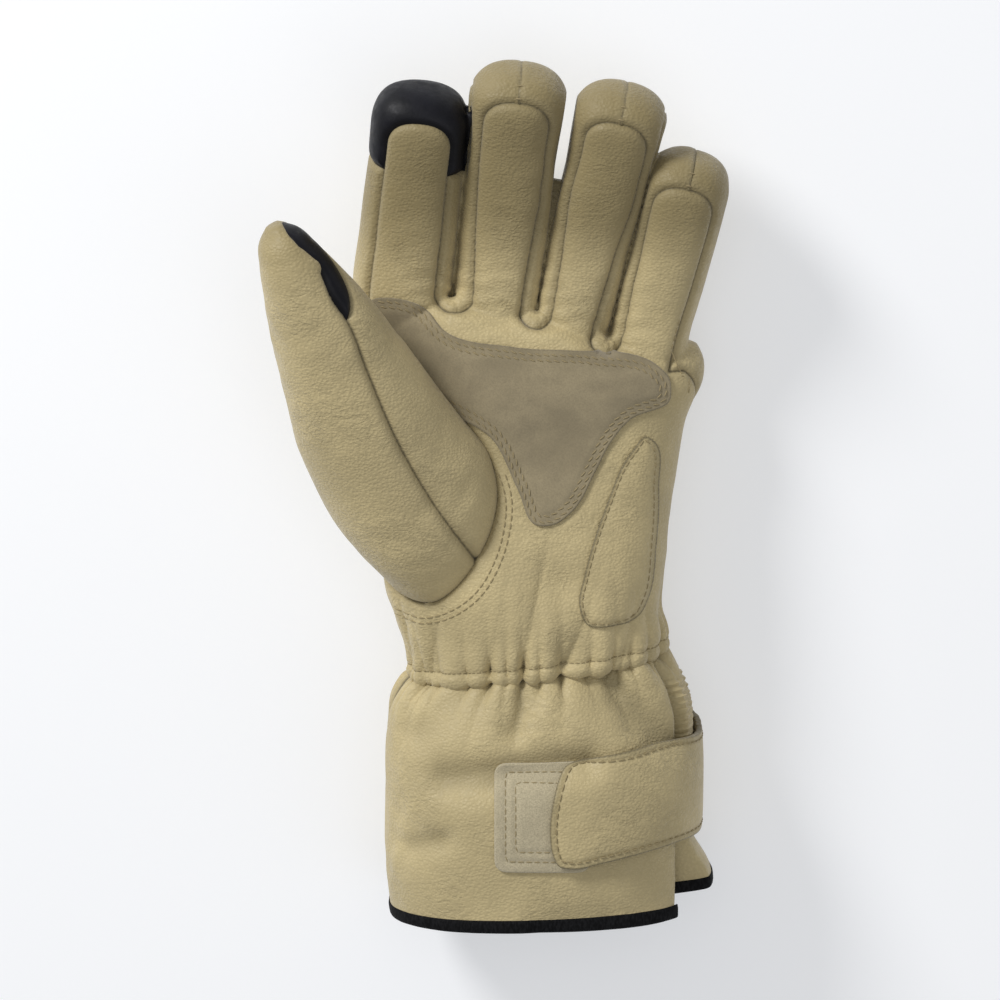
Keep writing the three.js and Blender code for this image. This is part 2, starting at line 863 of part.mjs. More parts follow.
function cuffFold(x, along) {
  let sum = 0;
  for (const fold of cuffFolds) {
    const from = new THREE.Vector2(fold.fromX * cuffWidth, fold.fromY * cuffLength);
    const to = new THREE.Vector2(fold.toX * cuffWidth, fold.toY * cuffLength);
    const place = new THREE.Vector2(x, along);
    const line = to.clone().sub(from);
    const share = THREE.MathUtils.clamp(place.clone().sub(from).dot(line) / line.lengthSq(), 0, 1);
    const off = place.distanceTo(from.clone().addScaledVector(line, share));
    sum += fold.depth * cuffDepth * Math.exp(-((off / (fold.width * cuffDepth)) ** 2));
  }
  return sum;
}

// Point of the cuff: side 1 is the palm panel, side -1 the back panel with its open slit
function cuffPoint(section, angle, grow, side, rippled) {
  const along = section.along;
  const share = along / cuffLength;
  const ripple = rippled ? gather(angle, along, cuffGather) : 0;
  const shape = { ...section };
  let inset = 0;
  if (side < 0) {
    const open = THREE.MathUtils.smoothstep(share, slitStart, slitEnd) * slitReach;
    const tuck = THREE.MathUtils.smoothstep(angle, tuckStart + FULL, tuckEnd + FULL);
    shape.right += open;
    inset = tuck * (wall + 2 * seamGap + gatherDepth + open);
  }
  const point = bodyPoint(shape, angle, grow - inset, ripple);
  if (Math.sin(angle) > 0) {
    point.z -= cuffFold(point.x, along) * Math.sin(angle);
  }
  const corner = side < 0 ? Math.max(0, point.x / cuffWidth) * 2 : 0;
  point.y = -along + slitLift * share * share * corner + seamLift(point.x, along, cuffSlope);
  return point;
}

// Angles of the columns of a cuff panel, kept half a gap off the side seam
function cuffAngles(side) {
  const first = side > 0 ? palmEdge : Math.PI;
  const last = side > 0 ? Math.PI : FULL + backEdge;
  const count = Math.round((last - first) / cuffStep);
  return Array.from({ length: count + 1 }, (_, j) => first + ((last - first) * j) / count);
}

function cuffGrid(side, grow, rippled, sections) {
  const angles = cuffAngles(side);
  const leftEdge = angles.indexOf(Math.PI);
  return sections.map((section, index) => {
    const row = angles.map((angle) => cuffPoint(section, angle, grow, side, rippled));
    row[leftEdge].z += (side * seamGap) / 2;
    if (index === 0) {
      row.forEach((point) => {
        point.y -= seamGap / 2;
      });
    }
    return row;
  });
}

function cuffSectionAt(along) {
  const section = { along };
  for (const name of ["left", "right", "top", "bottom"]) {
    section[name] = columnAt(cuffSections, along, name);
  }
  return section;
}

// The panels end inside the binding, with a section where the binding starts
const bodyCuffSections = [
  ...cuffSections.slice(0, -1),
  cuffSectionAt(cuffLength - bindingHeight),
  cuffSectionAt(cuffLength - bindingThickness - seamGap),
];

function cuffPanel(side) {
  const outer = cuffGrid(side, 0, true, bodyCuffSections);
  const inner = cuffGrid(side, -wall, false, bodyCuffSections);
  return sheetSolid(outer, inner);
}

// Folded binding over the hem: a channel whose section is carried along the edge
function hemBinding(side) {
  const low = cuffLength - bindingHeight;
  const inside = cuffLength - bindingThickness;
  const outFace = seamGap + bindingThickness;
  const inFace = -wall - seamGap - bindingThickness;
  const profile = [
    [outFace, low],
    [outFace, cuffLength],
    [inFace, cuffLength],
    [inFace, low],
    [-wall - seamGap, low],
    [-wall - seamGap, inside],
    [seamGap, inside],
    [seamGap, low],
  ];
  const angles = cuffAngles(side);
  const rings = angles.map((angle) =>
    profile.map(([grow, along]) => {
      const point = cuffPoint(cuffSectionAt(along), angle, grow, side, false);
      if (angle === Math.PI) {
        point.z += (side * seamGap) / 2;
      }
      return point;
    }),
  );
  return channelSolid(rings);
}

// Solid through rings of a channel section, whose ends are closed by three four-sided faces
function channelSolid(rings) {
  const count = rings[0].length;
  const points = rings.flat();
  const triangles = [];
  const quad = (a, b, c, d) => triangles.push([a, b, c], [a, c, d]);
  for (let i = 0; i < rings.length - 1; i++) {
    for (let j = 0; j < count; j++) {
      const a = i * count + j;
      const b = i * count + ((j + 1) % count);
      quad(a, b, b + count, a + count);
    }
  }
  const faces = [
    [0, 1, 6, 7],
    [1, 2, 5, 6],
    [2, 3, 4, 5],
  ];
  const last = (rings.length - 1) * count;
  for (const [a, b, c, d] of faces) {
    quad(d, c, b, a);
    quad(last + a, last + b, last + c, last + d);
  }
  return toSolid(closedGeometry(points, triangles));
}

// Layer that follows the closed cuff, from one height over the leather to another
function cuffLayer(side, low, high) {
  const palmAngles = cuffAngles(1);
  const lowSpan = FULL - (Math.PI - palmEdge);
  const lowCount = Math.round(lowSpan / cuffStep);
  const lowAngles = Array.from(
    { length: lowCount - 1 },
    (_, j) => Math.PI + ((j + 1) * lowSpan) / lowCount,
  );
  const body = (grow) =>
    loftSolid(
      bodyCuffSections.map((section) =>
        [...palmAngles, ...lowAngles].map((angle) => cuffPoint(section, angle, grow, side, true)),
      ),
    );
  return body(high).subtract(body(low));
}

function flatBlock(outline, corner, width, length, bottom) {
  const corners = outline.map(
    (row) => new THREE.Vector2(corner.x + row.across * width, corner.y + row.along * length),
  );
  return extrudedSolid(corners, bottom, cuffDepth * 2);
}

function placeOnCuff(place) {
  return new THREE.Vector2(place.across * cuffWidth, place.along * cuffLength);
}

const loopTop = seamGap + loopThickness;
const loopPatch = cuffLayer(1, seamGap, loopTop).intersect(
  flatBlock(loopOutline, placeOnCuff(loopPlace), loopLength, loopWidth, cuffDepth / 2),
);

const strapFloor = cuffDepth / 4;
const strap = cuffLayer(0, loopTop + seamGap, loopTop + seamGap + strapThickness).intersect(
  flatBlock(strapOutline, placeOnCuff(strapPlace), -strapLength, strapWidth, strapFloor),
);

const group = new THREE.Group();

function addPiece(name, solid, finish) {
  const mesh = new THREE.Mesh(toGeometry(solid), new THREE.MeshStandardMaterial(finishes[finish]));
  mesh.name = name;
  group.add(mesh);
}

addPiece("palm_panel", palmPanel, "leather");
addPiece("back_panel", backPanel, "leather");
addPiece("gusset_index_outer", gusset(null, fingers.index), "leather");
addPiece("gusset_index_middle", gusset(fingers.index, fingers.middle), "leather");
addPiece("gusset_middle_ring", gusset(fingers.middle, fingers.ring), "leather");
addPiece("gusset_ring_little", gusset(fingers.ring, fingers.little), "leather");
addPiece("gusset_little_outer", gusset(fingers.little, null), "leather");
addPiece("index_touch_cap", touchCap, "touch");
addPiece("thumb_outer_panel", thumbOuter, "leather");
addPiece("thumb_inner_panel", thumbInner, "leather");
addPiece("thumb_touch_strip", thumbStrip, "touch");
addPiece("palm_patch", laidPiece(patchOutline, patchThickness), "suede");
addPiece("heel_pad", laidPiece(heelOutline, heelThickness), "leather");
addPiece("cuff_palm_panel", cuffPanel(1), "leather");
addPiece("cuff_back_panel", cuffPanel(-1), "leather");
addPiece("loop_patch", loopPatch, "loop");
addPiece("closing_strap", strap, "leather");
addPiece("hem_binding_palm", hemBinding(1), "binding");
addPiece("hem_binding_back", hemBinding(-1), "binding");

// The origin goes to the middle of the underside
const bounds = new THREE.Box3().setFromObject(group);
const middle = bounds.getCenter(new THREE.Vector3());
group.position.set(-middle.x, -middle.y, -bounds.min.z);

export default group;
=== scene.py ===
"""A padded leather gauntlet glove for the left hand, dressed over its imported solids.

Shapes are worked out in millimetres in the glove's own frame: the wrist seam crosses y = 0, +Y
runs to the fingertips, +X to the little finger, and the glove rests on z = 0. A finished piece is
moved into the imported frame, in metres.
"""

import json
import math

import bmesh
import bpy
import numpy as np
from bpy.props import FloatProperty, FloatVectorProperty, PointerProperty
from mathutils import Matrix, Vector
from mathutils.bvhtree import BVHTree
from mathutils.kdtree import KDTree

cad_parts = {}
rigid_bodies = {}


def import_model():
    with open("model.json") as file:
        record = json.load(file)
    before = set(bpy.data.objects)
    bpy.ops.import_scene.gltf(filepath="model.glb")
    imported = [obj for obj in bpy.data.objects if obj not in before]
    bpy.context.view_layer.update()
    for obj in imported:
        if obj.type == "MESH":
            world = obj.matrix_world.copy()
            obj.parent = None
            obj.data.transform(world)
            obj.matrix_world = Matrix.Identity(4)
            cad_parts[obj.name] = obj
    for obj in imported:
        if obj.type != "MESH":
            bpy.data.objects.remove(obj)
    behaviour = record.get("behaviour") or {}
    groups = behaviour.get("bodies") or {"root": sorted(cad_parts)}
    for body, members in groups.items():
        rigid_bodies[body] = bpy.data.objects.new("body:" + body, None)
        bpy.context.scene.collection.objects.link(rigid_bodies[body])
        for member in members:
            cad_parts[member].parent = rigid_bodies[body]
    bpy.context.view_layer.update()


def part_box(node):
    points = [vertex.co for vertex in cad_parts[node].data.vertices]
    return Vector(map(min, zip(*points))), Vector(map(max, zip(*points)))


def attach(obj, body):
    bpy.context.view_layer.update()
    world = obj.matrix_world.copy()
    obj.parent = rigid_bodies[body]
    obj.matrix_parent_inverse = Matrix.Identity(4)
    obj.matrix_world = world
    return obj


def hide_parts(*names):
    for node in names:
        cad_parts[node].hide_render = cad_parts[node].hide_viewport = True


bl_info = {
    "name": "Leather Gauntlet Glove",
    "version": (1, 0, 0),
    "blender": (4, 5, 0),
    "location": "3D View > Sidebar > Glove",
    "description": "Builds the leather, trim and stitching of a padded gauntlet glove",
    "category": "Object",
}

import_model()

MM = 0.001
FULL = 2 * math.pi

# Sizes of the solids, in millimetres
PALM_LENGTH = 130
PALM_WIDTH = 120
PALM_DEPTH = 58
WRIST_WIDTH = 89
WRIST_DEPTH = 51
WRIST_SLOPE = 0.11
SLOPE_REACH = 44
WALL = 3
SEAM_GAP = 0.3
FINGER_LENGTH = 104
FINGER_DEPTH = 29
FINGER_LIFT = 20
FINGER_RISE = 8
FINGER_CURL = 12
FRONT_TIP = 7
BACK_TIP = 5.8
CAP_LENGTH = 28
THUMB_LENGTH = 151
THUMB_WIDTH = 61.5
THUMB_DEPTH = 46
THUMB_RISE = 25
THUMB_CURL = -14
CUFF_LENGTH = 93
CUFF_WIDTH = 124
CUFF_DEPTH = 70
CUFF_SLOPE = 116
SLIT_REACH = 8
SLIT_LIFT = 8.5
SEAM_HEIGHT = PALM_DEPTH * 0.42
BODY_POWER = 2.35
SEAT_POWER = 2.9
FINGER_POWER = 2.5
TIP_POWER = 2.4
THUMB_POWER = 2.2
PALM_EDGE = math.radians(27)
BACK_EDGE = math.radians(36)
TUCK = (math.radians(12), math.radians(24))
SLIT = (0.74, 0.97)
WRIST_MIDDLE = 31
CUFF_RADIUS = 52
SLIT_HALF = 0.95
SLIT_MERGE = 0.4
FORK_LOOP = 4.8

# How far leather laps under its neighbour, and the size of the slivers that cutting leaves
TIP_LAP = 0.25
SEAM_LAP = 0.25
WRIST_LAP = 0.8
SLIVER = 0.12

# Hem tape: how much of the leather it covers, and its thickness
TAPE_COVER = 5.4
TAPE_THICK = 0.6

# Flat pieces are cut SLAB_HEIGHT thick and then pressed to their own thickness
SLAB_HEIGHT = 2.6
CURVE_STEP = 1.0

# Rows of stitches: distances from the edge or seam that they follow
PATCH_STITCHES = (1.6, 3.6)
HEEL_STITCHES = (1.3,)
LOOP_STITCHES = (4.0, 7.6)
STRAP_STITCHES = (2.3,)
FOOT_STITCHES = (2.4, 4.5)
WRIST_STITCHES = 3.2
STITCH_PITCH = 2.9
STITCH_LENGTH = 2.1

# Camera: over the middle of the glove, turned towards the hem, in degrees, metres and millimetres
CAMERA_TILT = 12
CAMERA_DISTANCE = 2.0
CAMERA_TARGET = (-13, 59.6, 35)

# Hand sections: along x PALM_LENGTH; left, right x PALM_WIDTH; top, bottom x PALM_DEPTH
HAND_ROWS = np.array([
    (0.0, 0.367, 0.3745, 0.983, 0.103),
    (0.05, 0.375, 0.38, 1.0, 0.09),
    (0.12, 0.402, 0.366, 1.01, 0.07),
    (0.22, 0.446, 0.37, 1.01, 0.04),
    (0.34, 0.465, 0.388, 0.98, 0.02),
    (0.52, 0.484, 0.412, 0.925, -0.03),
    (0.74, 0.51, 0.448, 0.85, -0.03),
    (0.88, 0.53, 0.497, 0.78, 0.0),
    (0.95, 0.533, 0.498, 0.72, 0.03),
    (1.0, 0.52, 0.482, 0.6, 0.13),
])

# Cuff sections: along x CUFF_LENGTH; left, right x CUFF_WIDTH; top, bottom x CUFF_DEPTH
CUFF_ROWS = np.array([
    (0.0, 0.3553, 0.3625, 0.814, 0.0857),
    (0.09, 0.412, 0.408, 0.87, 0.06),
    (0.2, 0.43, 0.443, 0.92, 0.03),
    (0.38, 0.436, 0.45, 0.973, 0.0),
    (0.56, 0.44, 0.453, 0.996, -0.025),
    (0.74, 0.438, 0.453, 1.0, -0.03),
    (1.0, 0.42, 0.452, 0.98, 0.02),
])

# Fingers: root and widths x PALM_WIDTH, start x PALM_LENGTH, length x FINGER_LENGTH
FINGERS = {
    "index": dict(root=-0.417, start=0.9, splay=6.5, length=0.926,
                  width=(0.278, 0.296, 0.284), front=(0.205, 0.2)),
    "middle": dict(root=-0.13, start=0.9, splay=5.8, length=1.0,
                   width=(0.248, 0.27, 0.282), front=(0.145, 0.205)),
    "ring": dict(root=0.09, start=0.885, splay=12.5, length=0.96,
                 width=(0.228, 0.246, 0.275), front=(0.13, 0.2)),
    "little": dict(root=0.315, start=0.83, splay=13.2, length=0.79,
                   width=(0.236, 0.25, 0.254), front=(0.165, 0.19)),
}

# Line of the forks: across x PALM_WIDTH, along x PALM_LENGTH
FORK_ROWS = np.array([
    (-0.6, 0.0), (-0.242, 0.03), (0.007, -0.014), (0.235, -0.094), (0.42, -0.12),
])

# Wedge of the outer gussets: along x PALM_LENGTH, open x PALM_DEPTH
WEDGE_ROWS = np.array([(-0.2, 0.0), (0.72, 0.0), (0.8, 0.03), (0.925, 0.16)])

# Thumb: along x THUMB_LENGTH; left, right x THUMB_WIDTH; front, back x THUMB_DEPTH
THUMB_ROOT = (-0.3, 0.254, 0.517)
THUMB_SPLAY = -22.4
THUMB_ROWS = np.array([
    (0.0, 0.17, 0.2, 0.44, 0.2),
    (0.035, 0.245, 0.32, 0.52, 0.3),
    (0.1, 0.3, 0.48, 0.56, 0.38),
    (0.17, 0.348, 0.56, 0.56, 0.42),
    (0.25, 0.388, 0.57, 0.52, 0.44),
    (0.37, 0.408, 0.49, 0.46, 0.43),
    (0.48, 0.405, 0.43, 0.42, 0.41),
    (0.61, 0.352, 0.373, 0.38, 0.38),
    (0.74, 0.284, 0.31, 0.35, 0.35),
    (0.85, 0.222, 0.222, 0.32, 0.3),
    (0.93, 0.172, 0.15, 0.26, 0.24),
    (0.98, 0.12, 0.085, 0.17, 0.16),
    (1.003, 0.06, 0.02, 0.07, 0.07),
])
THUMB_SEAM_ROWS = np.array([
    (-0.1, 0.33), (0.03, 0.29), (0.14, 0.25), (0.27, 0.19), (0.42, 0.15), (0.64, 0.156),
    (0.755, 0.17), (0.82, 0.141), (0.9, 0.138), (0.945, 0.078), (0.97, 0.049), (1.1, -0.03),
])
THUMB_STRIP_ROWS = np.array([
    (0.755, 0.3), (0.8, 0.16), (0.86, -0.02), (0.95, -0.14), (1.1, -0.18),
])

# Outlines on the palm: across x PALM_WIDTH, along x PALM_LENGTH
PATCH_OUTLINE = np.array([
    (-0.475, 1.03), (-0.36, 1.018), (-0.265, 0.94), (-0.067, 0.9), (0.17, 0.884), (0.36, 0.84),
    (0.395, 0.8), (0.396, 0.752), (0.275, 0.7), (0.22, 0.64), (0.18, 0.57), (0.1, 0.45),
    (0.05, 0.42), (0.0, 0.42), (-0.058, 0.52), (-0.138, 0.66), (-0.24, 0.72), (-0.47, 0.8),
])
HEEL_OUTLINE = np.array([
    (0.345, 0.64), (0.325, 0.652), (0.284, 0.615), (0.204, 0.462), (0.142, 0.279),
    (0.128, 0.19), (0.15, 0.145), (0.213, 0.138), (0.306, 0.16), (0.33, 0.2), (0.355, 0.35),
    (0.362, 0.5),
])

# Folds of the cuff front: places x CUFF_WIDTH and CUFF_LENGTH, width and depth x CUFF_DEPTH
CUFF_FOLDS = (
    (0.16, 0.03, 0.38, 0.31, 0.1, 0.085),
    (-0.26, 0.37, 0.14, 0.34, 0.1, 0.065),
    (-0.42, 0.66, -0.27, 0.62, 0.07, 0.045),
    (-0.2, 0.02, -0.34, 0.2, 0.09, 0.04),
    (0.0, 0.05, -0.06, 0.2, 0.07, 0.04),
    (0.02, 0.98, 0.3, 0.93, 0.08, 0.02),
)

# Foot of the thumb and the side of the hand: across x PALM_WIDTH, along x PALM_LENGTH
THUMB_FOOT = np.array([
    (-0.135, 0.563), (-0.112, 0.492), (-0.117, 0.408), (-0.147, 0.32), (-0.183, 0.262),
    (-0.25, 0.205), (-0.33, 0.172), (-0.42, 0.18),
])
SIDE_ROW = np.array([(0.452, 0.955), (0.458, 0.85), (0.455, 0.745)])

# Hollows of the palm: places x PALM_WIDTH and PALM_LENGTH, reach x PALM_WIDTH, depth x PALM_DEPTH
PALM_DENTS = ((0.06, 0.62, 0.22, 0.07), (0.07, 0.25, 0.09, 0.06), (-0.1, 0.93, 0.12, 0.03))

# Laid pieces of the cuff: x of the left side and y of the lower side, and their sizes
LOOP_PLACE = (-0.12 * CUFF_WIDTH, -0.745 * CUFF_LENGTH)
LOOP_SIZE = (34, 39)
STRAP_LOW = -0.66 * CUFF_LENGTH
STRAP_WIDTH = 35

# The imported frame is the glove's frame moved, and the loop patch says by how much
SHIFT = np.array(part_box("loop_patch")[0]) / MM - np.array([*LOOP_PLACE, 0])
SHIFT[2] = 0


def smooth(rows, place, column=1):
    """Smooth curve through a column of a table."""
    xs, ys = rows[:, 0], rows[:, column]
    slopes = np.gradient(ys, xs)
    x = np.clip(place, xs[0], xs[-1])
    i = np.clip(np.searchsorted(xs, x, side="right") - 1, 0, len(xs) - 2)
    span = xs[i + 1] - xs[i]
    t = (x - xs[i]) / span
    start = (2 * t**3 - 3 * t**2 + 1) * ys[i] + (t**3 - 2 * t**2 + t) * span * slopes[i]
    end = (3 * t**2 - 2 * t**3) * ys[i + 1] + (t**3 - t**2) * span * slopes[i + 1]
    return start + end


def straight(rows, place, column=1):
    return np.interp(place, rows[:, 0], rows[:, column])


def step(low, high, x):
    t = np.clip((x - low) / (high - low), 0, 1)
    return t * t * (3 - 2 * t)


def rounded(angle, left, right, front, back, power):
    """Rounded box section: half sizes to each side, and an angle from +X."""
    c, s = np.cos(angle), np.sin(angle)
    across = np.where(c > 0, right, left) * np.sign(c) * np.abs(c) ** (2 / power)
    rise = np.where(s > 0, front, back) * np.sign(s) * np.abs(s) ** (2 / power)
    return across, rise


def waves(points, size, seed, count=9):
    """Soft irregular relief from -1 to 1, made of turned waves about size apart."""
    rng = np.random.default_rng(seed)
    total = np.zeros(len(points))
    for _ in range(count):
        turn = rng.normal(size=3)
        turn *= FULL / (size * rng.uniform(0.7, 1.5) * np.linalg.norm(turn))
        total += np.sin(points @ turn + rng.uniform(0, FULL))
    return total / math.sqrt(count) / 1.6


class Spine:
    """Middle line of a finger: a slow arc upwards from its root."""

    def __init__(self, root, splay, rise, curl, length):
        self.root = np.array(root, float)
        self.length = length
        self.rise = math.radians(rise)
        self.bend = math.radians(curl) / length
        heading = math.radians(splay)
        self.ahead = np.array([math.sin(heading), math.cos(heading), 0])
        self.side = np.array([math.cos(heading), -math.sin(heading), 0])

    def frame(self, at):
        at = np.asarray(at, float)
        held = np.clip(at, 0, self.length)
        pitch = self.rise + self.bend * held
        run = (np.sin(pitch) - math.sin(self.rise)) / self.bend + (at - held) * np.cos(pitch)
        lift = (math.cos(self.rise) - np.cos(pitch)) / self.bend + (at - held) * np.sin(pitch)
        place = self.root + run[..., None] * self.ahead + lift[..., None] * np.array([0, 0, 1])
        up = np.cos(pitch)[..., None] * np.array([0, 0, 1])
        up = up - np.sin(pitch)[..., None] * self.ahead
        return place, up

    def point(self, at, across, rise):
        place, up = self.frame(at)
        return place + np.asarray(across)[..., None] * self.side + np.asarray(rise)[..., None] * up


def finger_spine(finger):
    root = (finger["root"] * PALM_WIDTH, finger["start"] * PALM_LENGTH, FINGER_LIFT)
    length = finger["length"] * FINGER_LENGTH
    return Spine(root, finger["splay"], FINGER_RISE, FINGER_CURL, length)


THUMB_SPINE = Spine(
    (THUMB_ROOT[0] * PALM_WIDTH, THUMB_ROOT[1] * PALM_LENGTH, THUMB_ROOT[2] * PALM_DEPTH),
    THUMB_SPLAY, THUMB_RISE, THUMB_CURL, THUMB_LENGTH,
)


class Fork:
    """Where two fingers part: the plane between them and the end of their slit."""

    def __init__(self, left, right):
        a, b = finger_spine(left), finger_spine(right)
        points = []
        for along, column in ((0, 0), (0.75 * FINGER_LENGTH, 2)):
            start, end = a.root + along * a.ahead, b.root + along * b.ahead
            share = left["width"][column] / (left["width"][column] + right["width"][column])
            points.append(start + (end - start) * share)
        self.middle = points[0]
        self.spread = 0.06 if right["splay"] - left["splay"] > 3 else 0
        ahead = (points[1] - points[0]) * (1, 1, 0)
        self.ahead = ahead / np.linalg.norm(ahead)
        self.side = np.array([self.ahead[1], -self.ahead[0], 0])
        y = PALM_LENGTH
        for _ in range(8):
            across = self.middle[0] + (y - self.middle[1]) * self.ahead[0] / self.ahead[1]
            y = PALM_LENGTH + float(fork_line(across))
        self.end = np.array([across, y, 0])
        self.reach = [self.room(a, left, 1), self.room(b, right, -1)]

    def room(self, spine, finger, sign):
        """From the plane to the front panel of one finger, at the end of the slit."""
        at = (self.end - spine.root) @ spine.ahead
        edge = spine.point(at, sign * finger["front"][0] * PALM_WIDTH / 2, 0)
        return abs((edge - self.middle) @ self.side)

    def off(self, points):
        return (points - self.middle) @ self.side

    def opening(self, points):
        """Extra room where the fingers spread apart."""
        return self.spread * np.clip(self.past(points) - 26, 0, 28)

    def past(self, points):
        """Distance beyond the end of the slit."""
        return (points - self.end) @ self.ahead


def fork_line(x):
    return PALM_LENGTH * straight(FORK_ROWS, x / PALM_WIDTH)


FORKS = [Fork(*pair) for pair in zip(list(FINGERS.values()), list(FINGERS.values())[1:])]


def kept_apart(points, before, gap):
    """Keeps points from crossing the planes between the fingers."""
    for fork in FORKS:
        start = fork.off(before)
        side = np.sign(start)
        lack = gap + fork.opening(points) - side * fork.off(points)
        near = (lack > 0) & (np.abs(start) > gap * 0.9) & (fork.past(points) > 0)
        points = points + (lack * side * near)[:, None] * fork.side
    return points


# Mesh helpers


def coordinates(mesh):
    flat = np.empty(len(mesh.vertices) * 3)
    mesh.vertices.foreach_get("co", flat)
    return flat.reshape(-1, 3)


def move_to(mesh, points):
    mesh.vertices.foreach_set("co", np.ascontiguousarray(points, dtype=np.float32).ravel())
    mesh.update()


def keep(bm, name):
    """Turns a bmesh into an object of the scene."""
    mesh = bpy.data.meshes.new(name)
    bm.to_mesh(mesh)
    bm.free()
    obj = bpy.data.objects.new(name, mesh)
    bpy.context.scene.collection.objects.link(obj)
    return obj


def drop(*objects):
    for obj in objects:
        mesh = obj.data
        bpy.data.objects.remove(obj)
        bpy.data.meshes.remove(mesh)


def applied(obj, kind, **settings):
    """Adds a modifier and applies it."""
    modifier = obj.modifiers.new(kind.title(), kind)
    for key, value in settings.items():
        setattr(modifier, key, value)
    graph = bpy.context.evaluated_depsgraph_get()
    mesh = bpy.data.meshes.new_from_object(obj.evaluated_get(graph))
    obj.modifiers.clear()
    old = obj.data
    obj.data = mesh
    bpy.data.meshes.remove(old)
    return obj


def copied(obj):
    twin = bpy.data.objects.new(obj.name, obj.data.copy())
    bpy.context.scene.collection.objects.link(twin)
    return twin


def trimmed(obj, other, operation="DIFFERENCE"):
    return applied(obj, "BOOLEAN", operation=operation, solver="MANIFOLD", object=other)


def joined(objects):
    """One object of several separate shells."""
    bm = bmesh.new()
    for obj in objects:
        bm.from_mesh(obj.data)
    name = objects[0].name
    drop(*objects)
    return keep(bm, name)


def remeshed(obj, size, rounds):
    applied(obj, "REMESH", mode="VOXEL", voxel_size=size, use_smooth_shade=True)
    return applied(obj, "SMOOTH", factor=0.5, iterations=rounds)


def wrapped(name, around, along, place):
    """Closed skin: the columns of a grid go round it, and its end rows close to a point.

    place takes arrays of the share round and the share along, and gives the points.
    """
    bm = bmesh.new()
    bmesh.ops.create_grid(bm, x_segments=around, y_segments=along + 2, size=0.5)
    obj = keep(bm, name)
    grid = coordinates(obj.data) + 0.5
    row = np.rint(grid[:, 1] * (along + 2)).astype(int)
    share = np.clip((row - 1) / along, 0, 1)
    points = place(np.rint(grid[:, 0] * around) / around, share)
    for end, ring in ((0, 1), (along + 2, along + 1)):
        points[row == end] = points[row == ring].mean(axis=0)
    move_to(obj.data, points)
    bm = bmesh.new()
    bm.from_mesh(obj.data)
    bmesh.ops.remove_doubles(bm, verts=bm.verts, dist=1e-4)
    bmesh.ops.recalc_face_normals(bm, faces=bm.faces)
    drop(obj)
    return keep(bm, name)


def skinned(name, rings):
    """Closed solid through rings with the same number of points."""
    bm = bmesh.new()
    loops = []
    for ring in rings:
        verts = [bm.verts.new(point) for point in ring]
        loops.append([bm.edges.new(pair) for pair in zip(verts, verts[1:] + verts[:1])])
    for lower, upper in zip(loops, loops[1:]):
        bmesh.ops.bridge_loops(bm, edges=lower + upper)
    bmesh.ops.holes_fill(bm, edges=loops[0] + loops[-1])
    bmesh.ops.triangulate(bm, faces=bm.faces)
    bmesh.ops.recalc_face_normals(bm, faces=bm.faces)
    return keep(bm, name)


def block(spine, rows):
    """Block along a spine: each row is its distance, left, right, low and high sides."""
    rings = []
    for at, left, right, low, high in rows:
        across = np.array([left, right, right, left])
        rise = np.array([low, low, high, high])
        rings.append(spine.point(np.full(4, at), across, rise))
    return skinned("block", rings)


# Skins of the hand, fingers, thumb and cuff


def seam_lift(x, distance, reach):
    return WRIST_SLOPE * x * np.maximum(0, 1 - distance / reach)


def palm_dent(x, along):
    total = 0
    for across, place, reach, depth in PALM_DENTS:
        dx = (x / PALM_WIDTH - across) / reach
        dy = (along / PALM_LENGTH - place) * PALM_LENGTH / PALM_WIDTH / reach
        total = total + depth * PALM_DEPTH * np.exp(-dx * dx - dy * dy)
    return total


def body_section(angle, left, right, top, bottom, grow):
    centre, half = (top + bottom) / 2, (top - bottom) / 2
    power = np.where(np.sin(angle) < 0, SEAT_POWER, BODY_POWER)
    return centre, rounded(angle, left + grow, right + grow, half + grow, half + grow, power)


def hand_skin(name, grow, around, rows):
    def place(u, v):
        angle = u * FULL
        start = -2 * WALL if grow < 0 else -WRIST_LAP
        along = start + v * (PALM_LENGTH + min(grow, 0) - start)
        share = np.clip(along, 0, PALM_LENGTH) / PALM_LENGTH
        left, right = (smooth(HAND_ROWS, share, i) * PALM_WIDTH for i in (1, 2))
        top, bottom = (smooth(HAND_ROWS, share, i) * PALM_DEPTH for i in (3, 4))
        centre, (x, rise) = body_section(angle, left, right, top, bottom, grow)
        z = centre + rise
        z = z - palm_dent(x, along) * np.maximum(np.sin(angle), 0)
        y = along + fork_line(x) * share**2 + seam_lift(x, np.maximum(along, 0), SLOPE_REACH)
        return np.stack([x, y, np.maximum(z, max(0, -grow))], axis=1)

    return wrapped(name, around, rows, place)


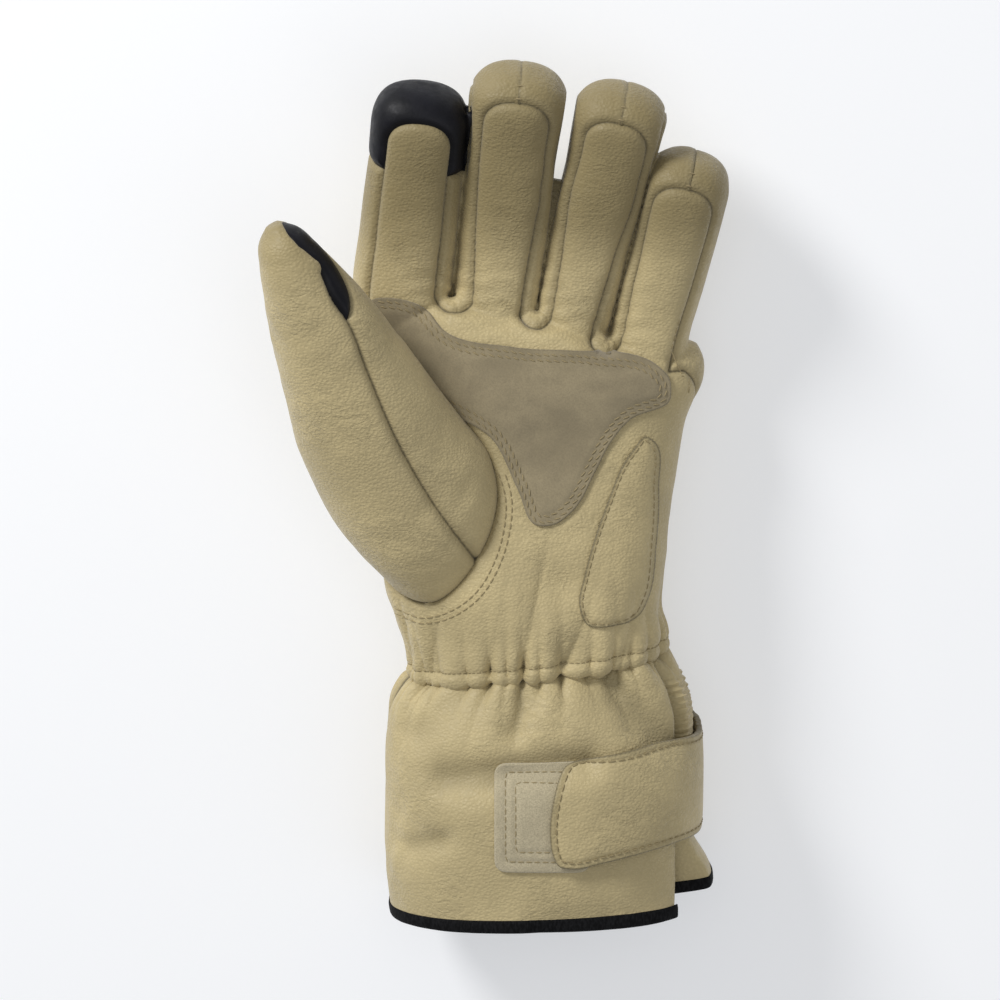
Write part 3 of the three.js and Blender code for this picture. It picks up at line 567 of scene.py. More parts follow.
def finger_skin(name, finger, grow, around, rows):
    spine = finger_spine(finger)
    length = spine.length
    tip = FINGER_DEPTH / 2
    shaft = length - tip
    start = -0.4 * FINGER_DEPTH
    widths = np.array(list(zip((0, 0.33, 0.75, 1), (*finger["width"], finger["width"][2]))))

    def place(u, v):
        turn = np.clip((v - 0.7) / 0.3, 0, 1) * math.radians(88)
        at = start + np.clip(v / 0.7, 0, 1) * (shaft - start)
        at = at + (tip + grow) * np.sin(turn) ** (2 / TIP_POWER)
        scale = np.cos(turn) ** (2 / TIP_POWER) * (1 - 0.28 * np.clip(at / start, 0, 1))
        half = (smooth(widths, at / length) * PALM_WIDTH / 2 + grow) * scale
        swell = 1 + 0.16 * np.maximum(0, 1 - np.maximum(at, 0) / length / 0.3)
        rise = (FINGER_DEPTH * swell / 2 + grow) * scale
        across, up = rounded(u * FULL, half, half, rise, rise, FINGER_POWER)
        gap = (SLIT_HALF + SLIT_MERGE) * step(2.5, 7, np.abs(up)) - SLIT_MERGE - min(grow, 0)
        return kept_apart(spine.point(at, across, up), spine.root, gap)

    return wrapped(name, around, rows, place)


def thumb_skin(name, grow, around, rows):
    def place(u, v):
        share = v * THUMB_ROWS[-1, 0]
        sizes = []
        for column, size in ((1, THUMB_WIDTH), (2, THUMB_WIDTH), (3, THUMB_DEPTH), (4, THUMB_DEPTH)):
            half = smooth(THUMB_ROWS, share, column) * size
            sizes.append(np.maximum(half + grow * np.clip(half / 4, 0, 1), 0.3))
        at = share * THUMB_LENGTH + grow * (step(0.9, 1, share) - step(0.05, 0, share))
        across, up = rounded(u * FULL, *sizes, THUMB_POWER)
        return THUMB_SPINE.point(at, across, up)

    return wrapped(name, around, rows, place)


def cuff_fold(x, along):
    total = 0
    for x0, y0, x1, y1, width, depth in CUFF_FOLDS:
        start = np.array([x0 * CUFF_WIDTH, y0 * CUFF_LENGTH])
        line = np.array([x1 * CUFF_WIDTH, y1 * CUFF_LENGTH]) - start
        place = np.stack([x, along], axis=-1) - start
        share = np.clip(place @ line / (line @ line), 0, 1)
        off = np.linalg.norm(place - share[..., None] * line, axis=-1)
        total = total + depth * CUFF_DEPTH * np.exp(-((off / (width * CUFF_DEPTH)) ** 2))
    return total


def cuff_point(angle, along, grow, side):
    """Point of the cuff: side 1 is the palm panel, -1 the back panel, 0 what lies on both."""
    share = along / CUFF_LENGTH
    left, right = (smooth(CUFF_ROWS, share, i) * CUFF_WIDTH for i in (1, 2))
    top, bottom = (smooth(CUFF_ROWS, share, i) * CUFF_DEPTH for i in (3, 4))
    if side < 0:
        opened = step(*SLIT, share) * SLIT_REACH
        tuck = step(TUCK[0] + FULL, TUCK[1] + FULL, angle)
        right = right + opened
        grow = grow - tuck * (WALL + 2 * SEAM_GAP + 1.3 + opened)
    centre, (x, rise) = body_section(angle, left, right, top, bottom, grow)
    z = np.maximum(centre + rise, np.maximum(0, -grow))
    z = z - cuff_fold(x, along) * np.maximum(np.sin(angle), 0)
    corner = np.maximum(0, x / CUFF_WIDTH) * 2 if side < 0 else 0
    y = -along + SLIT_LIFT * share**2 * corner + seam_lift(x, along, CUFF_SLOPE)
    return np.stack(np.broadcast_arrays(x, y, z), axis=-1)


# Relief: what the leather does between its seams


def pleats(turn):
    """Rounded ridges with sharp valleys between them, from -1 to 0.8."""
    return 1.8 * np.abs(np.sin(turn / 2)) ** 0.7 - 1


def gathers(points, side):
    """Puckers of the elastic wrist: side 1 is the hand above the seam, -1 the cuff."""
    x, y, z = points.T
    angle = np.arctan2((z - WRIST_MIDDLE) * 1.7, x)
    off = y - WRIST_SLOPE * x
    above = side > 0
    jitter = 0.5 * np.sin(3 * angle + 1.3) + 0.3 * np.sin(7 * angle + 0.4)
    near = 1 - 0.45 * np.exp(-((off / 2) ** 2))
    fine = pleats(34 * angle + 5 * jitter) * np.exp(-np.abs(off) / np.where(above, 10, 6)) * near
    lean = np.where(above, 0.1, 0.03) * off
    reach = np.where(above, 15 + 8 * np.sin(5 * angle + 1), 10)
    coarse = pleats(15 * angle + 3 * jitter + lean) * np.exp(-np.abs(off) / reach) * near
    edge = np.where(above, 1.5, -0.7) * np.exp(-((off / 2.4) ** 2))
    sewn = np.where(above, -0.6, 0) * np.exp(-(((off - 3.2) / 0.8) ** 2))
    return 1.7 * fine + 2.3 * coarse + edge + sewn


def leather_waves(points, seed):
    """Slack of the leather: wide soft waves with a few tighter creases."""
    wide = waves(points, 34, seed)
    small = waves(points * np.array([0.6, 1, 1]), 9, seed + 1)
    mask = np.clip(waves(points, 40, seed + 2) + 0.3, 0, 1)
    return 0.45 * wide + 0.3 * small * mask


def fork_puckers(points):
    """Creases that run out from the end of each slit, and across the roots of the fingers."""
    total = np.zeros(len(points))
    for number, fork in enumerate(FORKS):
        across, along = fork.off(points), fork.past(points)
        r = np.hypot(across, along)
        turn = np.arctan2(along, across)
        star = pleats(7 * turn + number) * np.exp(-(((r - 3) / 2.4) ** 2))
        total += 0.25 * star - 0.9 * np.exp(-((r / 1.8) ** 2))
        across = across / 16
        roots = np.exp(-((along + 4) ** 2) / 260 - across**2)
        total += 0.3 * roots * np.sin(along * 0.9 + 2 * np.sin(across * 3 + number))
    return total * step(22, 34, points[:, 2])


def tip_offset(points):
    """Distance from the seam over the nearest fingertip."""
    best = np.full(len(points), 99.0)
    for finger in FINGERS.values():
        spine = finger_spine(finger)
        from_root = points - spine.root
        off = np.abs(from_root @ spine.side)
        best = np.where(from_root @ spine.ahead > 0.6 * spine.length, np.minimum(best, off), best)
    return best


def seam_edges(obj, skin, tips):
    """Middles of the edges where a panel's outside turns into its cut sides.

    The seams over the fingertips are left out, for they are flat.
    """
    bm = bmesh.new()
    bm.from_mesh(obj.data)
    deep = [skin.find_nearest(vert.co)[3] > 3 * SLIVER for vert in bm.verts]
    tree = KDTree(len(bm.edges))
    count = 0
    for edge in bm.edges:
        if any(deep[vert.index] for vert in edge.verts) or edge.calc_face_angle(0) < 0.35:
            continue
        if not any(deep[vert.index] for face in edge.link_faces for vert in face.verts):
            continue
        middle = (edge.verts[0].co + edge.verts[1].co) / 2
        if not tips or tip_offset(np.array([middle]))[0] > 0.8:
            tree.insert(middle, count)
            count += 1
    bm.free()
    tree.balance()
    return tree if count else None


def skin_tree(obj):
    graph = bpy.context.evaluated_depsgraph_get()
    return BVHTree.FromObject(obj, graph)


def measured(obj, skin, seams):
    """Outward direction, depth under the skin and distance to the seam of each vertex."""
    points = coordinates(obj.data)
    turns = np.empty_like(points)
    depth = np.empty(len(points))
    reach = np.full(len(points), 99.0)
    for i, point in enumerate(points):
        _, normal, _, gap = skin.find_nearest(point)
        turns[i] = normal
        depth[i] = gap
        if seams:
            reach[i] = seams.find(point)[2]
    return points, turns, depth, reach


def cleaned(obj):
    """Merges the slivers that cutting leaves."""
    bm = bmesh.new()
    bm.from_mesh(obj.data)
    bmesh.ops.remove_doubles(bm, verts=bm.verts, dist=SLIVER)
    bmesh.ops.dissolve_degenerate(bm, edges=bm.edges, dist=SLIVER / 2)
    bmesh.ops.triangulate(bm, faces=[face for face in bm.faces if len(face.verts) > 3])
    bmesh.ops.recalc_face_normals(bm, faces=bm.faces)
    bm.to_mesh(obj.data)
    bm.free()
    return obj


def puffed(obj, skin, seams, puff, dip, relief, tips):
    """Swells a panel between its seams and adds its relief."""
    cleaned(obj)
    points, turns, depth, reach = measured(obj, skin, seams)
    turns = softened(obj.data, turns, 6)
    pillow = puff * (1 - np.exp(-reach / 3.2)) - dip * np.exp(-((reach / 1.2) ** 2))
    tip = tip_offset(points) if tips else np.full(len(points), 99.0)
    pillow = pillow - 0.35 * np.exp(-((tip / 0.7) ** 2))
    outer = np.clip(1 - depth / WALL, 0, 1)
    lift = relief(points)
    offset = pillow * (0.35 + 0.65 * outer) + lift
    moved = kept_apart(points + turns * offset[:, None], points, SLIT_HALF / 3)
    floor = np.maximum(0, depth - 0.3) * 0.9
    moved[:, 2] = np.maximum(moved[:, 2], np.where(points[:, 2] < 8, floor, 0))
    move_to(obj.data, moved)
    record(obj.data, "seam", np.minimum(reach, tip + 0.25))
    record(obj.data, "inside", (depth > WALL * 0.6).astype(float))
    # Painted shade: how much the leather is darkened in its dips and in the slits between the fingers,
    # where shade falls.
    shade = np.clip(-lift, 0, 3)
    for fork in FORKS:
        shade += 3 * np.exp(-((fork.off(points) / 1.6) ** 2)) * (fork.past(points) > -1)
    record(obj.data, "fold", shade)
    # Painted shade: marks the tops of the fingers beyond the forks, which the leather darkens as if
    # turned from the light.
    record(obj.data, "worn", step(-6, 46, points[:, 1] - PALM_LENGTH - 4) * step(24, 30, points[:, 2]))
    return obj


def softened(mesh, values, rounds):
    """Averages values over neighbouring vertices."""
    pairs = np.empty(len(mesh.edges) * 2, dtype=np.int32)
    mesh.edges.foreach_get("vertices", pairs)
    a, b = pairs.reshape(-1, 2).T
    count = np.bincount(pairs, minlength=len(values))[:, None] + 1
    for _ in range(rounds):
        total = values.copy()
        for column in range(values.shape[1]):
            total[:, column] += np.bincount(a, values[b, column], len(values))
            total[:, column] += np.bincount(b, values[a, column], len(values))
        values = total / count
    return values / np.maximum(np.linalg.norm(values, axis=1), 1e-6)[:, None]


def record(mesh, name, values):
    layer = mesh.attributes.get(name) or mesh.attributes.new(name, "FLOAT", "POINT")
    layer.data.foreach_set("value", np.ascontiguousarray(values, dtype=np.float32))


def finished(obj, name, nodes, material):
    """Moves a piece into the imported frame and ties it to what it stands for."""
    move_to(obj.data, (coordinates(obj.data) + SHIFT) * MM)
    obj.name = name
    obj.data.name = name
    obj.data.shade_smooth()
    obj.data.materials.clear()
    obj.data.materials.append(material)
    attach(obj, "root")
    if nodes:
        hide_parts(*nodes)
    return obj


# Panels of the hand


def cut_block(finger, facing, gap):
    """Block over the front or back face of a finger, rounded at the fingertip."""
    spine = finger_spine(finger)
    root, tip = (share * PALM_WIDTH / 2 for share in finger["front"])
    end = spine.length - (FRONT_TIP if facing > 0 else BACK_TIP)
    arch = tip * 0.85
    low, high = (0, FINGER_DEPTH) if facing > 0 else (-FINGER_DEPTH, 0)
    rows = []
    for share in np.linspace(0, 1, 12):
        half = root + (tip - root) * float(step(0, 1, min(1, share * 1.15)))
        rows.append((share * (end - arch), -half - gap, half + gap, low, high))
    for turn in np.radians(np.linspace(8, 88, 11)):
        half = tip * math.cos(turn) ** 0.8
        rows.append((end - arch + (arch + gap) * math.sin(turn), -half - gap, half + gap, low, high))
    return block(spine, rows)


def hand_block(facing, gap):
    """Block over the palm or the back of the hand, with a wedge for the outer gussets."""
    far = PALM_DEPTH * 3 if facing > 0 else -PALM_DEPTH
    last = WEDGE_ROWS[-1, 0] + (0 if facing > 0 else 0.02)
    bm = bmesh.new()
    bmesh.ops.create_grid(bm, x_segments=40, y_segments=30, size=0.5)
    for vert in bm.verts:
        x = vert.co.x * 1.8 * PALM_WIDTH
        along = -0.2 + (vert.co.y + 0.5) * (last + 0.2)
        opened = float(straight(WEDGE_ROWS, along)) * PALM_DEPTH
        y = along * PALM_LENGTH + gap + float(fork_line(x)) * max(0, along) ** 2
        vert.co = (x, y, SEAM_HEIGHT + facing * (opened + SEAM_GAP / 2 - gap))
    sides = bmesh.ops.extrude_face_region(bm, geom=bm.faces[:])
    for item in sides["geom"]:
        if isinstance(item, bmesh.types.BMVert):
            item.co.z = far
    bmesh.ops.recalc_face_normals(bm, faces=bm.faces)
    return keep(bm, "hand_block")


def web_block(fork, facing, gap):
    """Block between two fingers, with the round loop of the gusset cut out of it."""
    left, right = (room - gap for room in fork.reach)
    turns = np.linspace(0, -math.pi, 19)
    across = np.cos(turns) * np.where(np.cos(turns) > 0, right, left)
    loop = np.stack([across, (FORK_LOOP - gap) * np.sin(turns)], axis=1)
    sides = [(-left - 2, 0), (-left - 2, -FORK_LOOP * 3), (right + 2, -FORK_LOOP * 3), (right + 2, 0)]
    flat = np.vstack([loop, sides])
    low = SEAM_HEIGHT + facing * WEDGE_ROWS[-1, 1] * PALM_DEPTH
    far = PALM_DEPTH * 3 if facing > 0 else -PALM_DEPTH
    plan = fork.end + flat[:, :1] * fork.side + flat[:, 1:] * fork.ahead
    return skinned("web", [plan + (0, 0, height) for height in (low, far)])


def faces_cut(obj, facing, gap, operation):
    """Takes off, or keeps, what lies in the blocks over one face of the hand."""
    blocks = [hand_block(facing, gap)]
    blocks += [web_block(fork, facing, gap) for fork in FORKS]
    blocks += [cut_block(finger, facing, gap) for finger in FINGERS.values()]
    whole = blocks[0]
    for other in blocks[1:]:
        trimmed(whole, other, "UNION")
        drop(other)
    trimmed(obj, whole, operation)
    drop(whole)
    return obj


def half_block(finger, sign, start):
    spine = finger_spine(finger)
    reach = finger["width"][2] * PALM_WIDTH / 2 + WALL * (1 if start > -2 * WALL else 6)
    near, far = sorted((-sign * TIP_LAP, sign * reach))
    ends = (start, spine.length / 2, spine.length + FINGER_DEPTH)
    return block(spine, [(at, near, far, -FINGER_DEPTH, FINGER_DEPTH) for at in ends])


def cap_block(gap):
    index = FINGERS["index"]
    spine = finger_spine(index)
    start = spine.length - CAP_LENGTH - gap
    reach = index["width"][2] * PALM_WIDTH / 2 + SEAM_GAP + gap
    ends = (start, spine.length, spine.length + FINGER_DEPTH)
    cap = block(spine, [(at, -reach, reach, -FINGER_DEPTH, FINGER_DEPTH) for at in ends])
    middle = finger_skin("middle", FINGERS["middle"], SEAM_GAP - gap, 48, 60)
    trimmed(cap, middle)
    drop(middle)
    return cap


# Name, and the fingers on its left and right
GUSSETS = (
    ("gusset_index_outer", None, "index"),
    ("gusset_index_middle", "index", "middle"),
    ("gusset_middle_ring", "middle", "ring"),
    ("gusset_ring_little", "ring", "little"),
    ("gusset_little_outer", "little", None),
)


def main_skins(size):
    """Outside skin of the hand with its fingers, and the shell under it."""
    outer = [hand_skin("outer", 0, 120, 90)]
    outer += [finger_skin(name, finger, 0, 56, 70) for name, finger in FINGERS.items()]
    outer = remeshed(joined(outer), size, 5)
    inner = [hand_skin("inner", -WALL, 60, 40)]
    inner += [finger_skin(name, finger, -WALL, 28, 36) for name, finger in FINGERS.items()]
    inner = remeshed(joined(inner), size * 2, 2)
    shell = copied(outer)
    trimmed(shell, inner)
    return outer, inner, shell


def voxel():
    settings = bpy.context.scene.glove_sizes
    return settings.voxel


def hand_relief(points):
    sizes = bpy.context.scene.glove_sizes
    slack = leather_waves(points, 3) + fork_puckers(points)
    return sizes.slack * slack + sizes.gather * gathers(points, 1)


def panel(stock, name, node, material, skin, puff, dip, relief=hand_relief, tips=False):
    seams = seam_edges(stock, skin, tips)
    puffed(stock, skin, seams, puff, dip, relief, tips)
    stock.data.set_sharp_from_angle(angle=math.radians(60))
    return finished(stock, name, [node], material)


# Thumb


def thumb_inner_block(gap):
    rows = []
    for share in np.linspace(-0.1, 1.1, 50):
        side = float(smooth(THUMB_SEAM_ROWS, share)) * THUMB_WIDTH - gap
        rows.append((share * THUMB_LENGTH, side, THUMB_WIDTH, -2 * THUMB_DEPTH, 2 * THUMB_DEPTH))
    return block(THUMB_SPINE, rows)


def thumb_strip_block(gap):
    rows = []
    for share in np.linspace(THUMB_STRIP_ROWS[0, 0], 1.1, 30):
        side = float(smooth(THUMB_SEAM_ROWS, share)) * THUMB_WIDTH - gap
        low = float(smooth(THUMB_STRIP_ROWS, share)) * THUMB_DEPTH - gap
        rows.append((share * THUMB_LENGTH - gap, side, THUMB_WIDTH, low, 2 * THUMB_DEPTH))
    return block(THUMB_SPINE, rows)


# Cuff


def cuff_relief(points, side):
    sizes = bpy.context.scene.glove_sizes
    relief = sizes.slack * leather_waves(points, 11) + sizes.gather * gathers(points, -1)
    if side < 0:
        x, y, _ = points.T
        ribs = np.sin(y * 2.6 + 0.6 * np.sin(x * 0.3)) * step(34, 44, x) * step(-36, -30, y)
        relief = relief + 0.6 * ribs * (1 - step(-7, -3, y))
    return relief


def cuff_surface(angle, along, grow, side):
    """Point of the cuff with its relief, raised by grow along the outward direction."""
    shape = np.shape(angle)
    angle, along, grow = (np.ravel(a) for a in np.broadcast_arrays(angle, along, grow))
    base = cuff_point(angle, along, 0, side)
    around = cuff_point(angle + 0.01, along, 0, side) - base
    down = cuff_point(angle, along + 0.3, 0, side) - base
    normal = np.cross(around, down)
    normal /= np.linalg.norm(normal, axis=1)[:, None]
    lift = cuff_relief(base, side) + grow
    points = base + normal * lift[:, None]
    points[:, 2] = np.maximum(points[:, 2], np.maximum(0, -grow) * 0.9)
    return points.reshape(*shape, 3)


def cuff_angles(side):
    return (PALM_EDGE, math.pi) if side > 0 else (math.pi, FULL + BACK_EDGE)


def cuff_panel(name, side, size):
    """One leather of the cuff: a grid over its outside, made a wall thick."""
    first, last = cuff_angles(side)
    reach = CUFF_LENGTH - 1.2
    around, rows = round((last - first) * CUFF_RADIUS / size), round(reach / size)
    bm = bmesh.new()
    bmesh.ops.create_grid(bm, x_segments=around, y_segments=rows, size=0.5)
    obj = keep(bm, name)
    grid = coordinates(obj.data) + 0.5
    gap = SEAM_GAP / 2
    angle = first + grid[:, 0] * (last - first)
    along = gap + grid[:, 1] * (reach - gap)
    edge = np.minimum(grid[:, 0], 1 - grid[:, 0]) * (last - first) * CUFF_RADIUS
    reach_to = np.minimum(np.minimum(edge, along), 99)
    pillow = 0.5 * (1 - np.exp(-reach_to / 3)) - 1.0 * np.exp(-((reach_to / 1.3) ** 2))
    points = cuff_surface(angle, along, pillow, side)
    left = np.isclose(angle, math.pi)
    points[left, 2] += side * gap
    move_to(obj.data, points)
    bm = bmesh.new()
    bm.from_mesh(obj.data)
    bmesh.ops.recalc_face_normals(bm, faces=bm.faces)
    lowest = min(bm.faces, key=lambda face: face.calc_center_median().z * side * -1)
    if lowest.normal.z * side < 0:
        bmesh.ops.reverse_faces(bm, faces=bm.faces)
    drop(obj)
    obj = keep(bm, name)
    record(obj.data, "seam", reach_to)
    base = cuff_point(angle, along, 0, side)
    # Painted shade: how much the leather is darkened in the valleys of the cuff's folds.
    hollow = cuff_fold(base[:, 0], along) * np.maximum(np.sin(angle), 0) * 0.45
    record(obj.data, "fold", np.clip(hollow - cuff_relief(base, side), 0, 3))
    applied(obj, "SOLIDIFY", thickness=WALL, offset=-1, use_even_offset=False, use_rim=True)
    count = len(reach_to)
    inside = np.zeros(len(obj.data.vertices))
    inside[count:] = 1
    record(obj.data, "inside", inside)
    applied(obj, "BEVEL", width=0.7, segments=3, limit_method="ANGLE", angle_limit=math.radians(50))
    return obj


def hem_binding(name, side):
    """Tape folded over the hem: a channel carried along the edge."""
    first, last = cuff_angles(side)
    low, far = CUFF_LENGTH - TAPE_COVER, CUFF_LENGTH
    out, back = SEAM_GAP + TAPE_THICK, -WALL - SEAM_GAP - TAPE_THICK
    turns = np.linspace(0, math.pi, 9)
    middle, half = (out + back) / 2, (out - back) / 2
    outer = [(out - 0.2, low), (out + 0.1, low + 1.2), (out + 0.1, low + 3)]
    outer += [(middle + half * math.cos(t), far - 1.3 + 1.3 * math.sin(t)) for t in turns]
    outer += [(back, low + 2), (back, low)]
    inner = [(-WALL - SEAM_GAP, low), (-WALL - SEAM_GAP, far - 1), (SEAM_GAP, far - 1)]
    inner += [(SEAM_GAP, low)]
    profile = np.array(outer + inner)
    count = len(profile)

    def place(u, v):
        spot = np.rint(u * count).astype(int) % count
        angle = first + v * (last - first)
        grow, along = profile[spot].T
        points = cuff_surface(angle, along, grow, side)
        points[np.isclose(angle, math.pi), 2] += side * SEAM_GAP / 2
        return points

    obj = wrapped(name, count, 200, place)
    applied(obj, "BEVEL", width=0.25, segments=2, limit_method="ANGLE", angle_limit=math.radians(40))
    return obj


# Laid pieces


def closed_curve(points):
    """Smooth closed curve through points, with even steps."""
    ring = np.vstack([points[-2:], points, points[:2]])
    place = np.cumsum(np.r_[0, np.linalg.norm(np.diff(ring, axis=0), axis=1)])
    start, end = place[2], place[-2]
    fine = np.linspace(start, end, 1500)
    curve = np.stack([smooth(np.stack([place, ring[:, i]], axis=1), fine) for i in (0, 1)], axis=1)
    return evened(curve)


def evened(curve):
    """The same closed line with even steps; its last point lies on its first."""
    run = np.cumsum(np.r_[0, np.linalg.norm(np.diff(curve, axis=0), axis=1)])
    even = np.linspace(0, run[-1], max(12, round(run[-1] / CURVE_STEP)) + 1)[:-1]
    return np.stack([np.interp(even, run, curve[:, i]) for i in (0, 1)], axis=1)


def loop_curve(distance=0):
    """Rectangle with round corners, at a distance inside the edge of the loop patch."""
    radius = max(1, 4 - distance)
    wide, tall = LOOP_SIZE
    near = radius + distance
    points = []
    for x, y, start in ((wide - near, tall - near, 0), (near, tall - near, 90),
                        (near, near, 180), (wide - near, near, 270)):
        for turn in np.radians(start + np.linspace(0, 90, 7)):
            points.append((x + radius * math.cos(turn), y + radius * math.sin(turn)))
    points.append(points[0])
    return evened(np.array(points) + LOOP_PLACE)


def patch_curve():
    return closed_curve(PATCH_OUTLINE * (PALM_WIDTH, PALM_LENGTH))


def heel_curve():
    return closed_curve(HEEL_OUTLINE * (PALM_WIDTH, PALM_LENGTH))


def inset(curve, distance):
    """Closed curve moved inwards."""
    turn = np.roll(curve, -1, axis=0) - np.roll(curve, 1, axis=0)
    turn /= np.linalg.norm(turn, axis=1)[:, None]
    inward = np.stack([-turn[:, 1], turn[:, 0]], axis=1)
    area = np.sum(curve[:, 0] * np.roll(curve[:, 1], -1) - curve[:, 1] * np.roll(curve[:, 0], -1))
    for _ in range(4):
        inward = (np.roll(inward, 1, axis=0) + inward + np.roll(inward, -1, axis=0)) / 3
    return curve + inward * distance * np.sign(area)


def slab(name, curve):
    """Flat piece with soft edges, from z = 0 to SLAB_HEIGHT."""
    bm = bmesh.new()
    verts = [bm.verts.new((x, y, 0)) for x, y in curve]
    face = bm.faces.new(verts)
    made = bmesh.ops.extrude_face_region(bm, geom=[face])
    for item in made["geom"]:
        if isinstance(item, bmesh.types.BMVert):
            item.co.z = SLAB_HEIGHT
    bmesh.ops.triangulate(bm, faces=bm.faces)
    bmesh.ops.recalc_face_normals(bm, faces=bm.faces)
    return remeshed(keep(bm, name), 0.6, 3)


def edge_tree(curve):
    tree = KDTree(len(curve))
    for i, (x, y) in enumerate(curve):
        tree.insert((x, y, 0), i)
    tree.balance()
    return tree


def edge_reach(points, tree):
    return np.array([tree.find((x, y, 0))[2] for x, y in points[:, :2]])


class Ground:
    """Finished leather that something is laid on, seen from above, in the glove's frame."""

    def __init__(self, *objects):
        verts, faces, normals = [], [], []
        for obj in objects:
            start = len(verts)
            points = coordinates(obj.data) / MM - SHIFT
            verts.extend(points.tolist())
            faces.extend([[start + v for v in poly.vertices] for poly in obj.data.polygons])
            turns = np.empty(len(points) * 3)
            obj.data.vertices.foreach_get("normal", turns)
            normals.append(softened(obj.data, turns.reshape(-1, 3), 8))
        self.normals = np.vstack(normals)
        self.faces = faces
        self.tree = BVHTree.FromPolygons(verts, faces)

    def drape(self, flat):
        """Lays flat points on the leather: x and y are the place, z the height over it."""
        flat = np.asarray(flat, float)
        points = np.array(flat)
        for i, (x, y, rise) in enumerate(flat):
            hit, _, face, _ = self.tree.ray_cast((x, y, 150), (0, 0, -1))
            if hit is None:
                hit, _, face, _ = self.tree.find_nearest((x, y, 40))
            normal = self.normals[self.faces[face]].mean(axis=0)
            points[i] = np.array(hit) + normal * rise
        return points


def along_from(x, y):
    """Distance down the cuff at which its surface reaches x, y."""
    return (-y + WRIST_SLOPE * x) / (1 + WRIST_SLOPE * x / CUFF_SLOPE)


def on_cuff_front(flat, grow=0):
    """Point of the cuff's front above x, y, raised by z."""
    x, y, rise = np.asarray(flat, float).T
    along = np.clip(along_from(x, y), 0.5, CUFF_LENGTH)
    share = along / CUFF_LENGTH
    half = np.where(x > 0, smooth(CUFF_ROWS, share, 2), smooth(CUFF_ROWS, share, 1)) * CUFF_WIDTH
    c = np.sign(x) * np.abs(np.clip(x / half, -0.999, 0.999)) ** (BODY_POWER / 2)
    return cuff_surface(np.arccos(c), along, rise + grow, 0)


STRAP_ANGLES = np.linspace(math.radians(-38), math.radians(92), 200)


def strap_run():
    """Distance along the strap from its sewn end, and the x there, for each angle."""
    points = cuff_point(STRAP_ANGLES, np.full(200, 46.0), 2, 0)
    run = np.r_[0, np.cumsum(np.linalg.norm(np.diff(points, axis=0), axis=1))]
    return run, points[:, 0]


def on_strap(flat, grow=0):
    """Point over the cuff for a place along and across the strap, raised by z."""
    run, _ = strap_run()
    q, y, rise = np.asarray(flat, float).T
    angle = np.interp(q, run, STRAP_ANGLES)
    x = cuff_point(angle, -y, 0, 0)[:, 0]
    return cuff_surface(angle, along_from(x, y), rise + grow, 0)


def strap_curve():
    """Outline of the strap, along and across: a straight run and a rounded end."""
    run, xs = strap_run()
    top = np.argmax(xs)
    reach = {x: float(np.interp(-x, -xs[top:], run[top:])) for x in (48, 37, 24, 13, 8, 6, 5)}
    low, high = STRAP_LOW, STRAP_LOW + STRAP_WIDTH
    rows = [(0, low), (reach[48] * 0.6, low), (reach[48], low - 0.4), (reach[37], low - 2)]
    rows += [(reach[24], low - 4.3), (reach[13], low - 6), (reach[8], low - 4.8), (reach[6], low - 1)]
    rows += [(reach[5], low + 5.6), (reach[8], low + 23), (reach[13], low + 31)]
    rows += [(reach[24], low + 33.4), (reach[37], low + 35), (reach[48], high + 1.2)]
    rows += [(reach[48] * 0.6, high + 1.4), (0, high + 1.4)]
    return closed_curve(np.array(rows, float))


# Stitching


def stitch(bm, start, end, radius):
    """One stitch: a short rounded length of thread."""
    start, end = Vector(start), Vector(end)
    line = end - start
    turn = line.to_track_quat("Z", "Y").to_matrix().to_4x4()
    size = Matrix.Diagonal((radius, radius, line.length / 2 + radius * 0.4, 1))
    matrix = Matrix.Translation((start + end) / 2) @ turn @ size
    bmesh.ops.create_uvsphere(bm, u_segments=6, v_segments=5, radius=1, matrix=matrix)


def open_curve(points):
    """Smooth open curve through points, with even steps."""
    place = np.r_[0, np.cumsum(np.linalg.norm(np.diff(points, axis=0), axis=1))]
    fine = np.linspace(0, place[-1], 600)
    table = [np.stack([place, points[:, i]], axis=1) for i in (0, 1)]
    curve = np.stack([smooth(rows, fine) for rows in table], axis=1)
    return evened(curve)


def beside(curve, distance):
    """Open curve moved to its right."""
    turn = np.gradient(curve, axis=0)
    turn /= np.linalg.norm(turn, axis=1)[:, None]
    return curve + distance * np.stack([turn[:, 1], -turn[:, 0]], axis=1)


def wrist_row(bm, objects, off):
    """Stitches round the wrist, at a distance above its seam."""
    ground = Ground(*objects)
    starts = np.arange(0, FULL, 0.04)
    ends = []
    for turn in (starts, starts + 0.028):
        x = 0.5 * WRIST_WIDTH * np.cos(turn)
        z = WRIST_MIDDLE + 0.5 * WRIST_DEPTH * np.sin(turn)
        spots = []
        for c, d, u, v in zip(np.cos(turn), np.sin(turn), x, z):
            y = off + WRIST_SLOPE * u
            hit, _, _, _ = ground.tree.ray_cast((u + 60 * c, y, v + 60 * d), (-c, 0, -d))
            spots.append(hit)
        ends.append(spots)
    for start, end in zip(*ends):
        if start and end and (start - end).length < 6:
            stitch(bm, start, end, 0.3)


def tip_row(bm, objects, finger):
    """Small cross stitches over the seam of a fingertip."""
    ground = Ground(*objects)
    spine = finger_spine(finger)
    at, far = spine.length - FINGER_DEPTH / 2 + 0.5, 50
    for turn in np.radians((38, 56, 74, 92)):
        spots = []
        for across in (-1.1, 1.1):
            out = spine.point(at + far * math.cos(turn), across, far * math.sin(turn))
            middle = spine.point(at, across, 0)
            hit, _, _, _ = ground.tree.ray_cast(out, Vector(middle - out).normalized())
            spots.append(hit)
        if all(spots):
            stitch(bm, *spots, 0.32)


